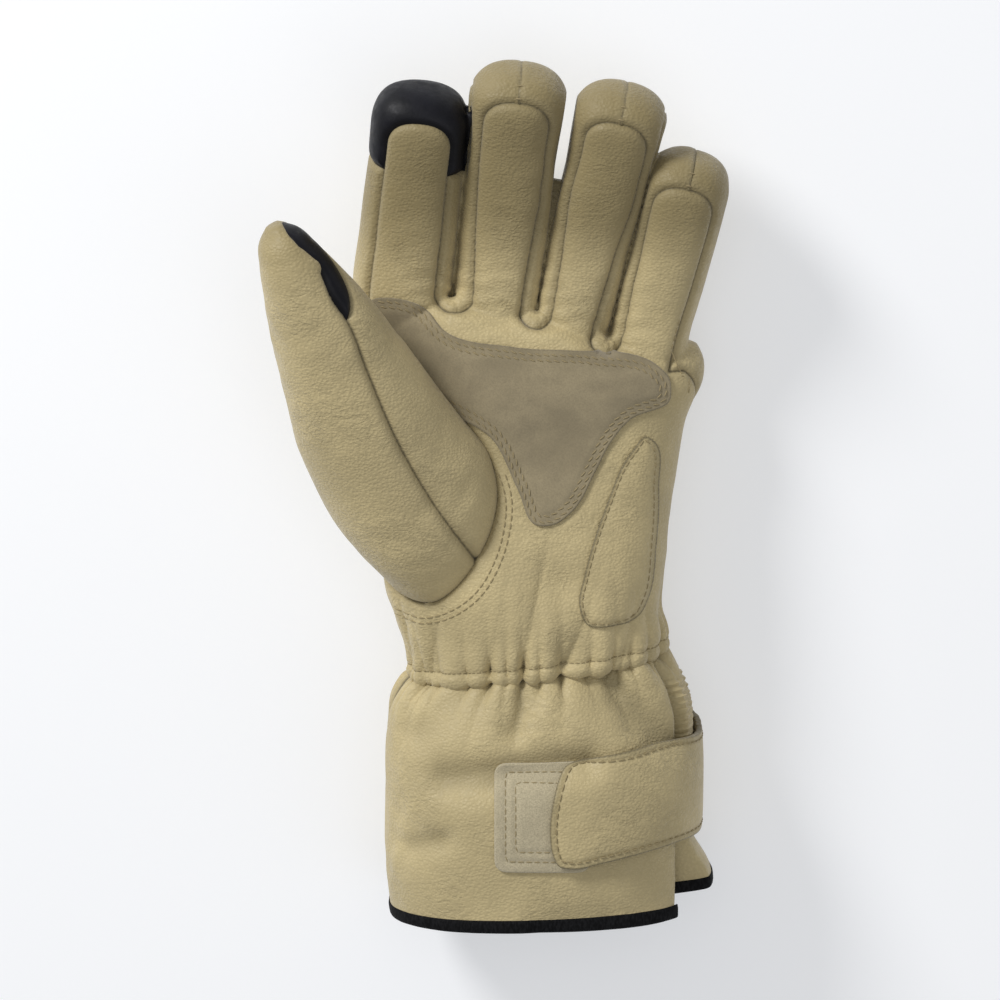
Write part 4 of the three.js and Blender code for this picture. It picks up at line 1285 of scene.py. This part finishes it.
def stitch_row(bm, curve, place, radius=0.28, closed=True, sway=0):
    """Stitches along a flat curve, laid by place."""
    ring = np.vstack([curve, curve[:1]]) if closed else curve
    run = np.cumsum(np.r_[0, np.linalg.norm(np.diff(ring, axis=0), axis=1)])
    starts = np.arange(0, run[-1] - STITCH_LENGTH, STITCH_PITCH)
    ends = []
    for shift in (0, STITCH_LENGTH):
        at = starts + shift
        flat = np.stack([np.interp(at, run, ring[:, i]) for i in (0, 1)], axis=1)
        flat = np.column_stack([flat, np.full(len(flat), radius * 0.35)])
        ends.append(flat)
    if sway:
        turn = ends[1][:, :2] - ends[0][:, :2]
        side = np.stack([-turn[:, 1], turn[:, 0]], axis=1) / STITCH_LENGTH
        ends[0][:, :2] += side * sway
        ends[1][:, :2] -= side * sway
    for start, end in zip(place(ends[0]), place(ends[1])):
        stitch(bm, start, end, radius)


# Materials


class Shades:
    """Short way to write a material's nodes."""

    def __init__(self, name):
        self.material = bpy.data.materials.new(name)
        self.material.use_nodes = True
        self.nodes = self.material.node_tree.nodes
        self.links = self.material.node_tree.links
        self.shader = self.nodes["Principled BSDF"]
        self.place = self.nodes.new("ShaderNodeTexCoord").outputs["Object"]

    def put(self, socket, value):
        if isinstance(value, bpy.types.NodeSocket):
            self.links.new(value, socket)
        elif value is not None:
            socket.default_value = value

    def stretched(self, scale, turn=(0, 0, 0)):
        node = self.nodes.new("ShaderNodeMapping")
        node.inputs["Scale"].default_value = scale
        node.inputs["Rotation"].default_value = turn
        self.put(node.inputs["Vector"], self.place)
        return node.outputs["Vector"]

    def noise(self, scale, detail=3, rough=0.5, warp=0, place=None):
        node = self.nodes.new("ShaderNodeTexNoise")
        for key, value in (("Scale", scale), ("Detail", detail), ("Roughness", rough),
                           ("Distortion", warp)):
            node.inputs[key].default_value = value
        self.put(node.inputs["Vector"], place or self.place)
        return node.outputs["Fac"]

    def cells(self, scale, place=None):
        node = self.nodes.new("ShaderNodeTexVoronoi")
        node.inputs["Scale"].default_value = scale
        self.put(node.inputs["Vector"], place or self.place)
        return node.outputs["Distance"]

    def attribute(self, name):
        node = self.nodes.new("ShaderNodeAttribute")
        node.attribute_name = name
        return node.outputs["Fac"]

    def ranged(self, value, low, high, start=0.0, end=1.0):
        node = self.nodes.new("ShaderNodeMapRange")
        node.interpolation_type = "SMOOTHSTEP"
        for key, number in (("From Min", low), ("From Max", high), ("To Min", start),
                            ("To Max", end)):
            node.inputs[key].default_value = number
        self.put(node.inputs["Value"], value)
        return node.outputs["Result"]

    def math(self, kind, a, b):
        node = self.nodes.new("ShaderNodeMath")
        node.operation = kind
        self.put(node.inputs[0], a)
        self.put(node.inputs[1], b)
        return node.outputs["Value"]

    def mixed(self, share, a, b):
        node = self.nodes.new("ShaderNodeMix")
        node.data_type = "RGBA"
        self.put(node.inputs["Factor"], share)
        for socket, value in ((node.inputs[6], a), (node.inputs[7], b)):
            self.put(socket, value if isinstance(value, bpy.types.NodeSocket) else (*value[:3], 1))
        return node.outputs[2]

    def bump(self, height, strength, distance, under=None):
        node = self.nodes.new("ShaderNodeBump")
        node.inputs["Strength"].default_value = strength
        node.inputs["Distance"].default_value = distance
        self.put(node.inputs["Height"], height)
        if under:
            self.put(node.inputs["Normal"], under)
        return node.outputs["Normal"]

    def done(self, color, roughness, normal=None, **constants):
        self.put(self.shader.inputs["Base Color"], color)
        self.put(self.shader.inputs["Roughness"], roughness)
        if normal:
            self.put(self.shader.inputs["Normal"], normal)
        for name, value in constants.items():
            self.shader.inputs[name.replace("_", " ")].default_value = value
        return self.material


def scaled(color, factor):
    return tuple(min(1, channel * factor) for channel in color[:3])


def leather_material():
    """Soft full-grain leather: fine pebbles, creases, uneven tone, and painted shade on the finger
    tops, along the seams, in folds and between the fingers.
    """
    tint = bpy.context.scene.glove_colors.leather
    s = Shades("tan_leather")
    tone = s.ranged(s.noise(38, 3, 0.55), 0.3, 0.7)
    color = s.mixed(tone, scaled(tint, 0.9), scaled(tint, 1.08))
    grain = s.cells(820, place=s.stretched((1, 1.25, 1)))
    pores = s.ranged(grain, 0.15, 0.75)
    color = s.mixed(s.ranged(grain, 0.2, 0.9, 0, 0.3), color, scaled(tint, 0.72))
    crease = s.noise(210, 4, 0.6, 0.7, s.stretched((0.55, 1.3, 1), (0, 0, 0.35)))
    lines = s.ranged(s.math("ABSOLUTE", s.math("SUBTRACT", crease, 0.5), 0), 0, 0.09, 0, 1)
    folded = s.ranged(s.noise(45, 2, 0.5), 0.45, 0.62)
    color = s.mixed(s.math("MULTIPLY", s.ranged(lines, 0, 1, 0.35, 0), folded), color,
                    scaled(tint, 0.7))
    # Painted shade: the finger tops are darkened towards this colour as if they were turned from the
    # light.
    finger_shade_color = (tint[0] * 0.39, tint[1] * 0.37, tint[2] * 0.3)
    color = s.mixed(s.ranged(s.attribute("worn"), 0, 1, 0, 0.8), color, finger_shade_color)
    # Painted shade along the seams: a near-black line in the seam and a wider darkening of the leather
    # in the valley beside it.
    seam = s.attribute("seam")
    color = s.mixed(s.ranged(seam, 0.15, 0.95, 0.96, 0), color, scaled(tint, 0.09))
    color = s.mixed(s.ranged(seam, 0.4, 4.5, 0.4, 0), color, scaled(tint, 0.55))
    # Painted shade in the fold valleys and in the slits between the fingers.
    color = s.mixed(s.ranged(s.attribute("fold"), 0.2, 2.2, 0, 0.62), color, scaled(tint, 0.5))
    lining = s.mixed(s.noise(900, 2), (0.1, 0.095, 0.085), (0.16, 0.15, 0.13))
    color = s.mixed(s.attribute("inside"), color, lining)
    normal = s.bump(pores, 0.4, 0.0003)
    normal = s.bump(s.noise(520, 3, 0.6, 0.4, s.stretched((0.5, 1.3, 1))), 0.22, 0.0005, normal)
    normal = s.bump(s.math("MULTIPLY", lines, folded), 0.3, 0.0005, normal)
    normal = s.bump(s.noise(130, 3, 0.5), 0.16, 0.0012, normal)
    roughness = s.ranged(s.noise(300, 3), 0.3, 0.75, 0.5, 0.66)
    return s.done(color, roughness, normal, Specular_IOR_Level=0.36, Sheen_Weight=0.15,
                  Sheen_Roughness=0.5)


def suede_material():
    """Brushed suede: a short nap with cloudy shade and rubbed patches."""
    tint = bpy.context.scene.glove_colors.suede
    s = Shades("palm_suede")
    color = s.mixed(s.ranged(s.noise(55, 4, 0.6, 0.4), 0.3, 0.7), scaled(tint, 0.85),
                    scaled(tint, 1.12))
    color = s.mixed(s.ranged(s.noise(1500, 2, 0.7), 0.35, 0.7, 0, 0.35), color, scaled(tint, 0.6))
    # Painted shade along the edge and seams of the patch.
    seam = s.attribute("seam")
    color = s.mixed(s.ranged(seam, 0.1, 0.9, 0.55, 0), color, scaled(tint, 0.45))
    normal = s.bump(s.noise(1900, 3, 0.7), 0.3, 0.0003)
    normal = s.bump(s.noise(160, 3), 0.2, 0.0007, normal)
    return s.done(color, 0.9, normal, Specular_IOR_Level=0.15, Sheen_Weight=0.35,
                  Sheen_Roughness=0.6)


def touch_material():
    """Smooth dark leather of the touch tips."""
    tint = bpy.context.scene.glove_colors.touch
    s = Shades("dark_leather")
    color = s.mixed(s.ranged(s.noise(90, 4), 0.35, 0.7), scaled(tint, 0.8), scaled(tint, 1.7))
    # Painted shade along the seams.
    color = s.mixed(s.ranged(s.attribute("seam"), 0.1, 1.4, 0.7, 0), color, scaled(tint, 0.3))
    color = s.mixed(s.attribute("inside"), color, (0.1, 0.095, 0.085))
    normal = s.bump(s.cells(900), 0.16, 0.0002)
    normal = s.bump(s.noise(150, 3), 0.2, 0.0006, normal)
    return s.done(color, s.ranged(s.noise(350, 3), 0.3, 0.7, 0.42, 0.56), normal,
                  Specular_IOR_Level=0.2)


def tape_material():
    """Ribbed black binding tape."""
    tint = bpy.context.scene.glove_colors.binding
    s = Shades("binding_tape")
    weave = s.noise(1400, 2, 0.6, 0, s.stretched((1, 0.35, 1)))
    color = s.mixed(s.ranged(weave, 0.35, 0.7), scaled(tint, 0.7), scaled(tint, 2.0))
    return s.done(color, 0.72, s.bump(weave, 0.35, 0.0003), Specular_IOR_Level=0.08)


def pile_material():
    """Brushed loop pile of the fastening patch."""
    tint = bpy.context.scene.glove_colors.pile
    s = Shades("loop_pile")
    fluff = s.noise(1700, 3, 0.75)
    color = s.mixed(s.ranged(fluff, 0.3, 0.7), scaled(tint, 0.78), scaled(tint, 1.12))
    color = s.mixed(s.ranged(s.noise(140, 3), 0.35, 0.7, 0, 0.3), color, scaled(tint, 0.75))
    normal = s.bump(fluff, 0.6, 0.0006)
    return s.done(color, 0.95, normal, Specular_IOR_Level=0.1, Sheen_Weight=0.6,
                  Sheen_Roughness=0.5)


def thread_material():
    """Twisted thread of the stitches."""
    tint = bpy.context.scene.glove_colors.thread
    s = Shades("tan_thread")
    twist = s.noise(2600, 2)
    color = s.mixed(twist, scaled(tint, 0.7), scaled(tint, 1.15))
    return s.done(color, 0.75, s.bump(twist, 0.4, 0.0002), Specular_IOR_Level=0.25)


def floor_material():
    """Pale floor, lit a little from itself like a light table."""
    s = Shades("pale_floor")
    color = s.mixed(s.noise(3, 2), (0.62, 0.623, 0.63), (0.635, 0.638, 0.645))
    return s.done(color, 0.9, Specular_IOR_Level=0.1, Emission_Color=(0.95, 0.97, 1.0, 1),
                  Emission_Strength=0.4)


MAKERS = {
    "tan_leather": leather_material,
    "palm_suede": suede_material,
    "dark_leather": touch_material,
    "binding_tape": tape_material,
    "loop_pile": pile_material,
    "tan_thread": thread_material,
    "pale_floor": floor_material,
}


def finish_of(name):
    return bpy.data.materials.get(name) or MAKERS[name]()


# Properties, operators and panel


class GloveSizes(bpy.types.PropertyGroup):
    voxel: FloatProperty(
        name="Mesh size", description="Size of a face of the padded leather, in millimetres",
        default=0.85, min=0.6, max=2.5,
    )
    puff: FloatProperty(
        name="Puff", description="How far the padding swells between seams, in millimetres",
        default=0.9, min=0, max=2,
    )
    dip: FloatProperty(
        name="Seam depth", description="How deep the leather dips at a seam, in millimetres",
        default=1.3, min=0, max=2,
    )
    slack: FloatProperty(
        name="Slack", description="Strength of the soft waves in the leather",
        default=1.0, min=0, max=3,
    )
    gather: FloatProperty(
        name="Gathers", description="Strength of the puckers at the elastic wrist",
        default=1.0, min=0, max=2,
    )


class GloveColors(bpy.types.PropertyGroup):
    leather: FloatVectorProperty(
        name="Leather", description="Colour of the tan leather", subtype="COLOR", size=3,
        default=(0.51, 0.417, 0.22), min=0, max=1,
    )
    suede: FloatVectorProperty(
        name="Suede", description="Colour of the palm patch", subtype="COLOR", size=3,
        default=(0.285, 0.235, 0.142), min=0, max=1,
    )
    touch: FloatVectorProperty(
        name="Touch tips", description="Colour of the dark finger cap and thumb strip",
        subtype="COLOR", size=3, default=(0.0045, 0.0046, 0.0066), min=0, max=1,
    )
    binding: FloatVectorProperty(
        name="Binding", description="Colour of the hem tape", subtype="COLOR", size=3,
        default=(0.006, 0.006, 0.0065), min=0, max=1,
    )
    pile: FloatVectorProperty(
        name="Loop pile", description="Colour of the fastening patch", subtype="COLOR", size=3,
        default=(0.5, 0.435, 0.29), min=0, max=1,
    )
    thread: FloatVectorProperty(
        name="Thread", description="Colour of the stitching", subtype="COLOR", size=3,
        default=(0.33, 0.265, 0.145), min=0, max=1,
    )


class GLOVE_OT_hand(bpy.types.Operator):
    """Builds the palm, the back, the finger gussets and the dark fingertip cap"""

    bl_idname = "glove.hand"
    bl_label = "Hand and fingers"

    def execute(self, context):
        size = voxel()
        sizes = context.scene.glove_sizes
        leather, touch = finish_of("tan_leather"), finish_of("dark_leather")
        outer, inner, shell = main_skins(size)
        skin = skin_tree(outer)
        thumb = thumb_skin("thumb_room", SEAM_GAP, 96, 120)
        trimmed(shell, thumb)
        palm = faces_cut(copied(shell), 1, 0, "INTERSECT")
        back = faces_cut(copied(shell), -1, 0, "INTERSECT")
        stock = faces_cut(faces_cut(shell, 1, -SEAM_LAP, "DIFFERENCE"), -1, -SEAM_LAP, "DIFFERENCE")
        for piece, name, node in ((palm, "palm_leather", "palm_panel"),
                                  (back, "back_leather", "back_panel")):
            panel(piece, name, node, leather, skin, sizes.puff, sizes.dip)
        cap = trimmed(copied(stock), cap_block(0), "INTERSECT")
        panel(cap, "index_cap", "index_touch_cap", touch, skin, 0.7, 0.9)
        trimmed(stock, cap_block(-SEAM_LAP))
        for node, left, right in GUSSETS:
            halves = []
            wedge = -0.3 * PALM_LENGTH
            if left:
                halves.append(half_block(FINGERS[left], 1, -WALL if right else wedge))
            if right:
                halves.append(half_block(FINGERS[right], -1, -WALL if left else wedge))
            if len(halves) > 1:
                trimmed(halves[0], halves[1], "UNION")
            strip = trimmed(copied(stock), halves[0], "INTERSECT")
            name = node.replace("gusset_", "") + "_strip"
            puff = 0.8 if left and right else 0.25
            panel(strip, name, node, leather, skin, puff, sizes.dip, tips=True)
            drop(*halves)
        drop(outer, inner, stock, thumb)
        drop(*[obj for obj in bpy.data.objects if obj.name.startswith("block")])
        return {"FINISHED"}


class GLOVE_OT_thumb(bpy.types.Operator):
    """Builds the two leather halves of the thumb and its dark strip"""

    bl_idname = "glove.thumb"
    bl_label = "Thumb"

    def execute(self, context):
        sizes = context.scene.glove_sizes
        leather, touch = finish_of("tan_leather"), finish_of("dark_leather")
        outer = thumb_skin("thumb", 0, 180, 230)
        skin = skin_tree(outer)
        hollow = thumb_skin("hollow", -WALL, 60, 70)
        room = hand_skin("room", -WALL, 60, 40)
        shell = trimmed(trimmed(copied(outer), hollow), room)
        pieces = (
            ("thumb_outer_leather", "thumb_outer_panel", leather, "leather",
             ((thumb_inner_block(-SEAM_LAP), "DIFFERENCE"),)),
            ("thumb_inner_leather", "thumb_inner_panel", leather, "leather",
             ((thumb_inner_block(0), "INTERSECT"), (thumb_strip_block(-SEAM_LAP), "DIFFERENCE"))),
            ("thumb_strip", "thumb_touch_strip", touch, "touch_leather",
             ((thumb_strip_block(0), "INTERSECT"),)),
        )
        for name, node, material, slot, cuts in pieces:
            piece = copied(shell)
            for cutter, operation in cuts:
                trimmed(piece, cutter, operation)
                drop(cutter)
            panel(piece, name, node, material, skin, sizes.puff, sizes.dip,
                  lambda points: sizes.slack * leather_waves(points, 21))
        drop(outer, hollow, room, shell)
        return {"FINISHED"}


class GLOVE_OT_cuff(bpy.types.Operator):
    """Builds the two panels of the cuff and the tape over their hem"""

    bl_idname = "glove.cuff"
    bl_label = "Cuff and binding"

    def execute(self, context):
        for side, end, grid in ((1, "palm", 0.8), (-1, "back", 0.92)):
            sheet = cuff_panel(f"cuff_{end}_leather", side, voxel() * grid)
            finished(sheet, f"cuff_{end}_leather", [f"cuff_{end}_panel"],
                     finish_of("tan_leather"))
            tape = hem_binding(f"hem_{end}_tape", side)
            finished(tape, f"hem_{end}_tape", [f"hem_binding_{end}"],
                     finish_of("binding_tape"))
            turns = np.linspace(*cuff_angles(side), 200)
            edge = cuff_surface(turns, np.full(200, CUFF_LENGTH), 0, side)
        return {"FINISHED"}


class GLOVE_OT_laid(bpy.types.Operator):
    """Builds the suede patch, the heel pad, the loop patch and the closing strap"""

    bl_idname = "glove.laid"
    bl_label = "Laid pieces"

    def execute(self, context):
        ground = Ground(bpy.data.objects["palm_leather"])
        curve = patch_curve()
        rows = [inset(curve, distance) for distance in PATCH_STITCHES]
        patch = lay("palm_patch_suede", curve, rows, 1.1, 0.0, ground.drape)
        applied(patch, "SMOOTH", factor=0.5, iterations=3)
        finished(patch, patch.name, ["palm_patch"], finish_of("palm_suede"))
        curve = heel_curve()
        rows = [inset(curve, distance) for distance in HEEL_STITCHES]
        heel = lay("heel_pad_leather", curve, rows, 0.9, 1.3, ground.drape)
        applied(heel, "SMOOTH", factor=0.5, iterations=3)
        finished(heel, heel.name, ["heel_pad"], finish_of("tan_leather"))
        curve = loop_curve()
        rows = [loop_curve(distance) for distance in LOOP_STITCHES]
        loop = lay("loop_patch_pile", curve, rows, 1.5, 0.15, on_cuff_front)
        finished(loop, loop.name, ["loop_patch"], finish_of("loop_pile"))
        curve = strap_curve()
        rows = [inset(curve, distance) for distance in STRAP_STITCHES]
        strap = lay("strap_leather", curve, rows, 2.2, 0.5, lambda flat: on_strap(flat, 1.7))
        finished(strap, strap.name, ["closing_strap"], finish_of("tan_leather"))
        return {"FINISHED"}


def lay(name, curve, rows, thick, crown, place):
    """Cuts a flat piece and lays it by place, crowned inside and drawn in along its stitches."""
    piece = slab(name, curve)
    squeeze = thick / SLAB_HEIGHT
    flat = coordinates(piece.data)
    reach = edge_reach(flat, edge_tree(curve))
    rise = flat[:, 2] * squeeze
    top = np.clip(rise / (SLAB_HEIGHT * squeeze), 0, 1)
    rise = rise + top * crown * (1 - np.exp(-reach / 5)) + 0.25
    for row in rows:
        off = edge_reach(flat, edge_tree(row))
        rise = rise - top * 0.4 * np.exp(-((off / 0.8) ** 2))
    move_to(piece.data, place(np.column_stack([flat[:, :2], rise])))
    record(piece.data, "seam", reach)
    record(piece.data, "inside", np.zeros(len(reach)))
    return piece


class GLOVE_OT_stitching(bpy.types.Operator):
    """Builds the rows of stitches"""

    bl_idname = "glove.stitching"
    bl_label = "Stitching"

    def execute(self, context):
        objects = bpy.data.objects
        for name, base, curve, distances, sway in (
            ("patch_stitches", "palm_patch_suede", patch_curve(), PATCH_STITCHES, 0.35),
            ("heel_stitches", "heel_pad_leather", heel_curve(), HEEL_STITCHES, 0),
        ):
            ground = Ground(objects[base])
            bm = bmesh.new()
            for distance in distances:
                stitch_row(bm, inset(curve, distance), ground.drape, sway=sway)
            finished(keep(bm, name), name, [], finish_of("tan_thread"))
        bm = bmesh.new()
        hand = [objects[name] for name in ("palm_leather", "back_leather")]
        ground = Ground(hand[0])
        foot = open_curve(THUMB_FOOT[::-1] * (PALM_WIDTH, PALM_LENGTH))
        for distance in FOOT_STITCHES:
            stitch_row(bm, beside(foot, distance), ground.drape, closed=False)
        side = open_curve(SIDE_ROW * (PALM_WIDTH, PALM_LENGTH))
        stitch_row(bm, side, ground.drape, closed=False)
        wrist_row(bm, hand, WRIST_STITCHES)
        for name, pair in (("middle", ("index_middle_strip", "middle_ring_strip")),
                           ("ring", ("middle_ring_strip", "ring_little_strip")),
                           ("little", ("ring_little_strip", "little_outer_strip"))):
            tip_row(bm, [objects[piece] for piece in pair], FINGERS[name])
        finished(keep(bm, "hand_stitches"), "hand_stitches", [],
                 finish_of("tan_thread"))
        bm = bmesh.new()
        for distance in LOOP_STITCHES:
            stitch_row(bm, loop_curve(distance), lambda flat: on_cuff_front(flat, 1.5),
                       radius=0.24)
        for distance in STRAP_STITCHES:
            stitch_row(bm, inset(strap_curve(), distance), lambda flat: on_strap(flat, 4.2))
        finished(keep(bm, "cuff_stitches"), "cuff_stitches", [],
                 finish_of("tan_thread"))
        return {"FINISHED"}


class GLOVE_OT_stage(bpy.types.Operator):
    """Builds the pale floor, the soft studio lights and the camera"""

    bl_idname = "glove.stage"
    bl_label = "Stage"

    def execute(self, context):
        scene = context.scene
        bm = bmesh.new()
        bmesh.ops.create_grid(bm, x_segments=1, y_segments=1, size=4)
        floor = keep(bm, "floor")
        floor.data.materials.append(finish_of("pale_floor"))
        middle = Vector((0, 0, 0.03))
        for name, place, size, power in (
            ("key_light", (-1.15, 1.3, 0.95), 0.6, 30.0),
            ("fill_light", (0.9, -0.6, 1.3), 1.4, 2.5),
            ("top_light", (0.0, 0.2, 1.9), 1.6, 5.0),
        ):
            data = bpy.data.lights.new(name, "AREA")
            data.shape = "DISK"
            data.size = size
            data.energy = power
            light = bpy.data.objects.new(name, data)
            light.location = place
            light.rotation_mode = "QUATERNION"
            light.rotation_quaternion = (middle - Vector(place)).to_track_quat("-Z", "Y")
            scene.collection.objects.link(light)
        world = bpy.data.worlds.new("pale_room")
        world.use_nodes = True
        world.node_tree.nodes["Background"].inputs["Color"].default_value = (0.96, 0.97, 1.0, 1)
        world.node_tree.nodes["Background"].inputs["Strength"].default_value = 0.34
        scene.world = world
        scene.view_settings.view_transform = "Standard"
        tilt = math.radians(CAMERA_TILT)
        target = Vector((SHIFT + np.array(CAMERA_TARGET)) * MM)
        away = Vector((0, math.sin(tilt), math.cos(tilt)))
        camera = bpy.data.objects.new("camera", bpy.data.cameras.new("camera"))
        camera.data.lens = 200
        camera.data.sensor_width = 36
        camera.data.clip_end = 10
        camera.location = target + away * CAMERA_DISTANCE
        up = Vector((0, math.cos(tilt), -math.sin(tilt)))
        camera.matrix_world = Matrix.Translation(camera.location) @ Matrix(
            (Vector((1, 0, 0)), up, away)
        ).transposed().to_4x4()
        scene.collection.objects.link(camera)
        scene.camera = camera
        return {"FINISHED"}


OPERATORS = (GLOVE_OT_hand, GLOVE_OT_thumb, GLOVE_OT_cuff, GLOVE_OT_laid, GLOVE_OT_stitching,
             GLOVE_OT_stage)


class GLOVE_PT_parts(bpy.types.Panel):
    """Lists the pieces of the glove"""

    bl_label = "Leather Gauntlet Glove"
    bl_idname = "GLOVE_PT_parts"
    bl_space_type = "VIEW_3D"
    bl_region_type = "UI"
    bl_category = "Glove"

    def draw(self, context):
        for operator in OPERATORS:
            self.layout.operator(operator.bl_idname)
        for group in (context.scene.glove_sizes, context.scene.glove_colors):
            for name in group.__annotations__:
                self.layout.prop(group, name)


CLASSES = (GloveSizes, GloveColors, *OPERATORS, GLOVE_PT_parts)


def register():
    for item in CLASSES:
        bpy.utils.register_class(item)
    bpy.types.Scene.glove_sizes = PointerProperty(type=GloveSizes)
    bpy.types.Scene.glove_colors = PointerProperty(type=GloveColors)


def unregister():
    del bpy.types.Scene.glove_colors
    del bpy.types.Scene.glove_sizes
    for item in reversed(CLASSES):
        bpy.utils.unregister_class(item)


def main():
    register()
    bpy.ops.glove.hand()
    bpy.ops.glove.thumb()
    bpy.ops.glove.cuff()
    bpy.ops.glove.laid()
    bpy.ops.glove.stitching()
    bpy.ops.glove.stage()


if __name__ == "__main__":
    main()
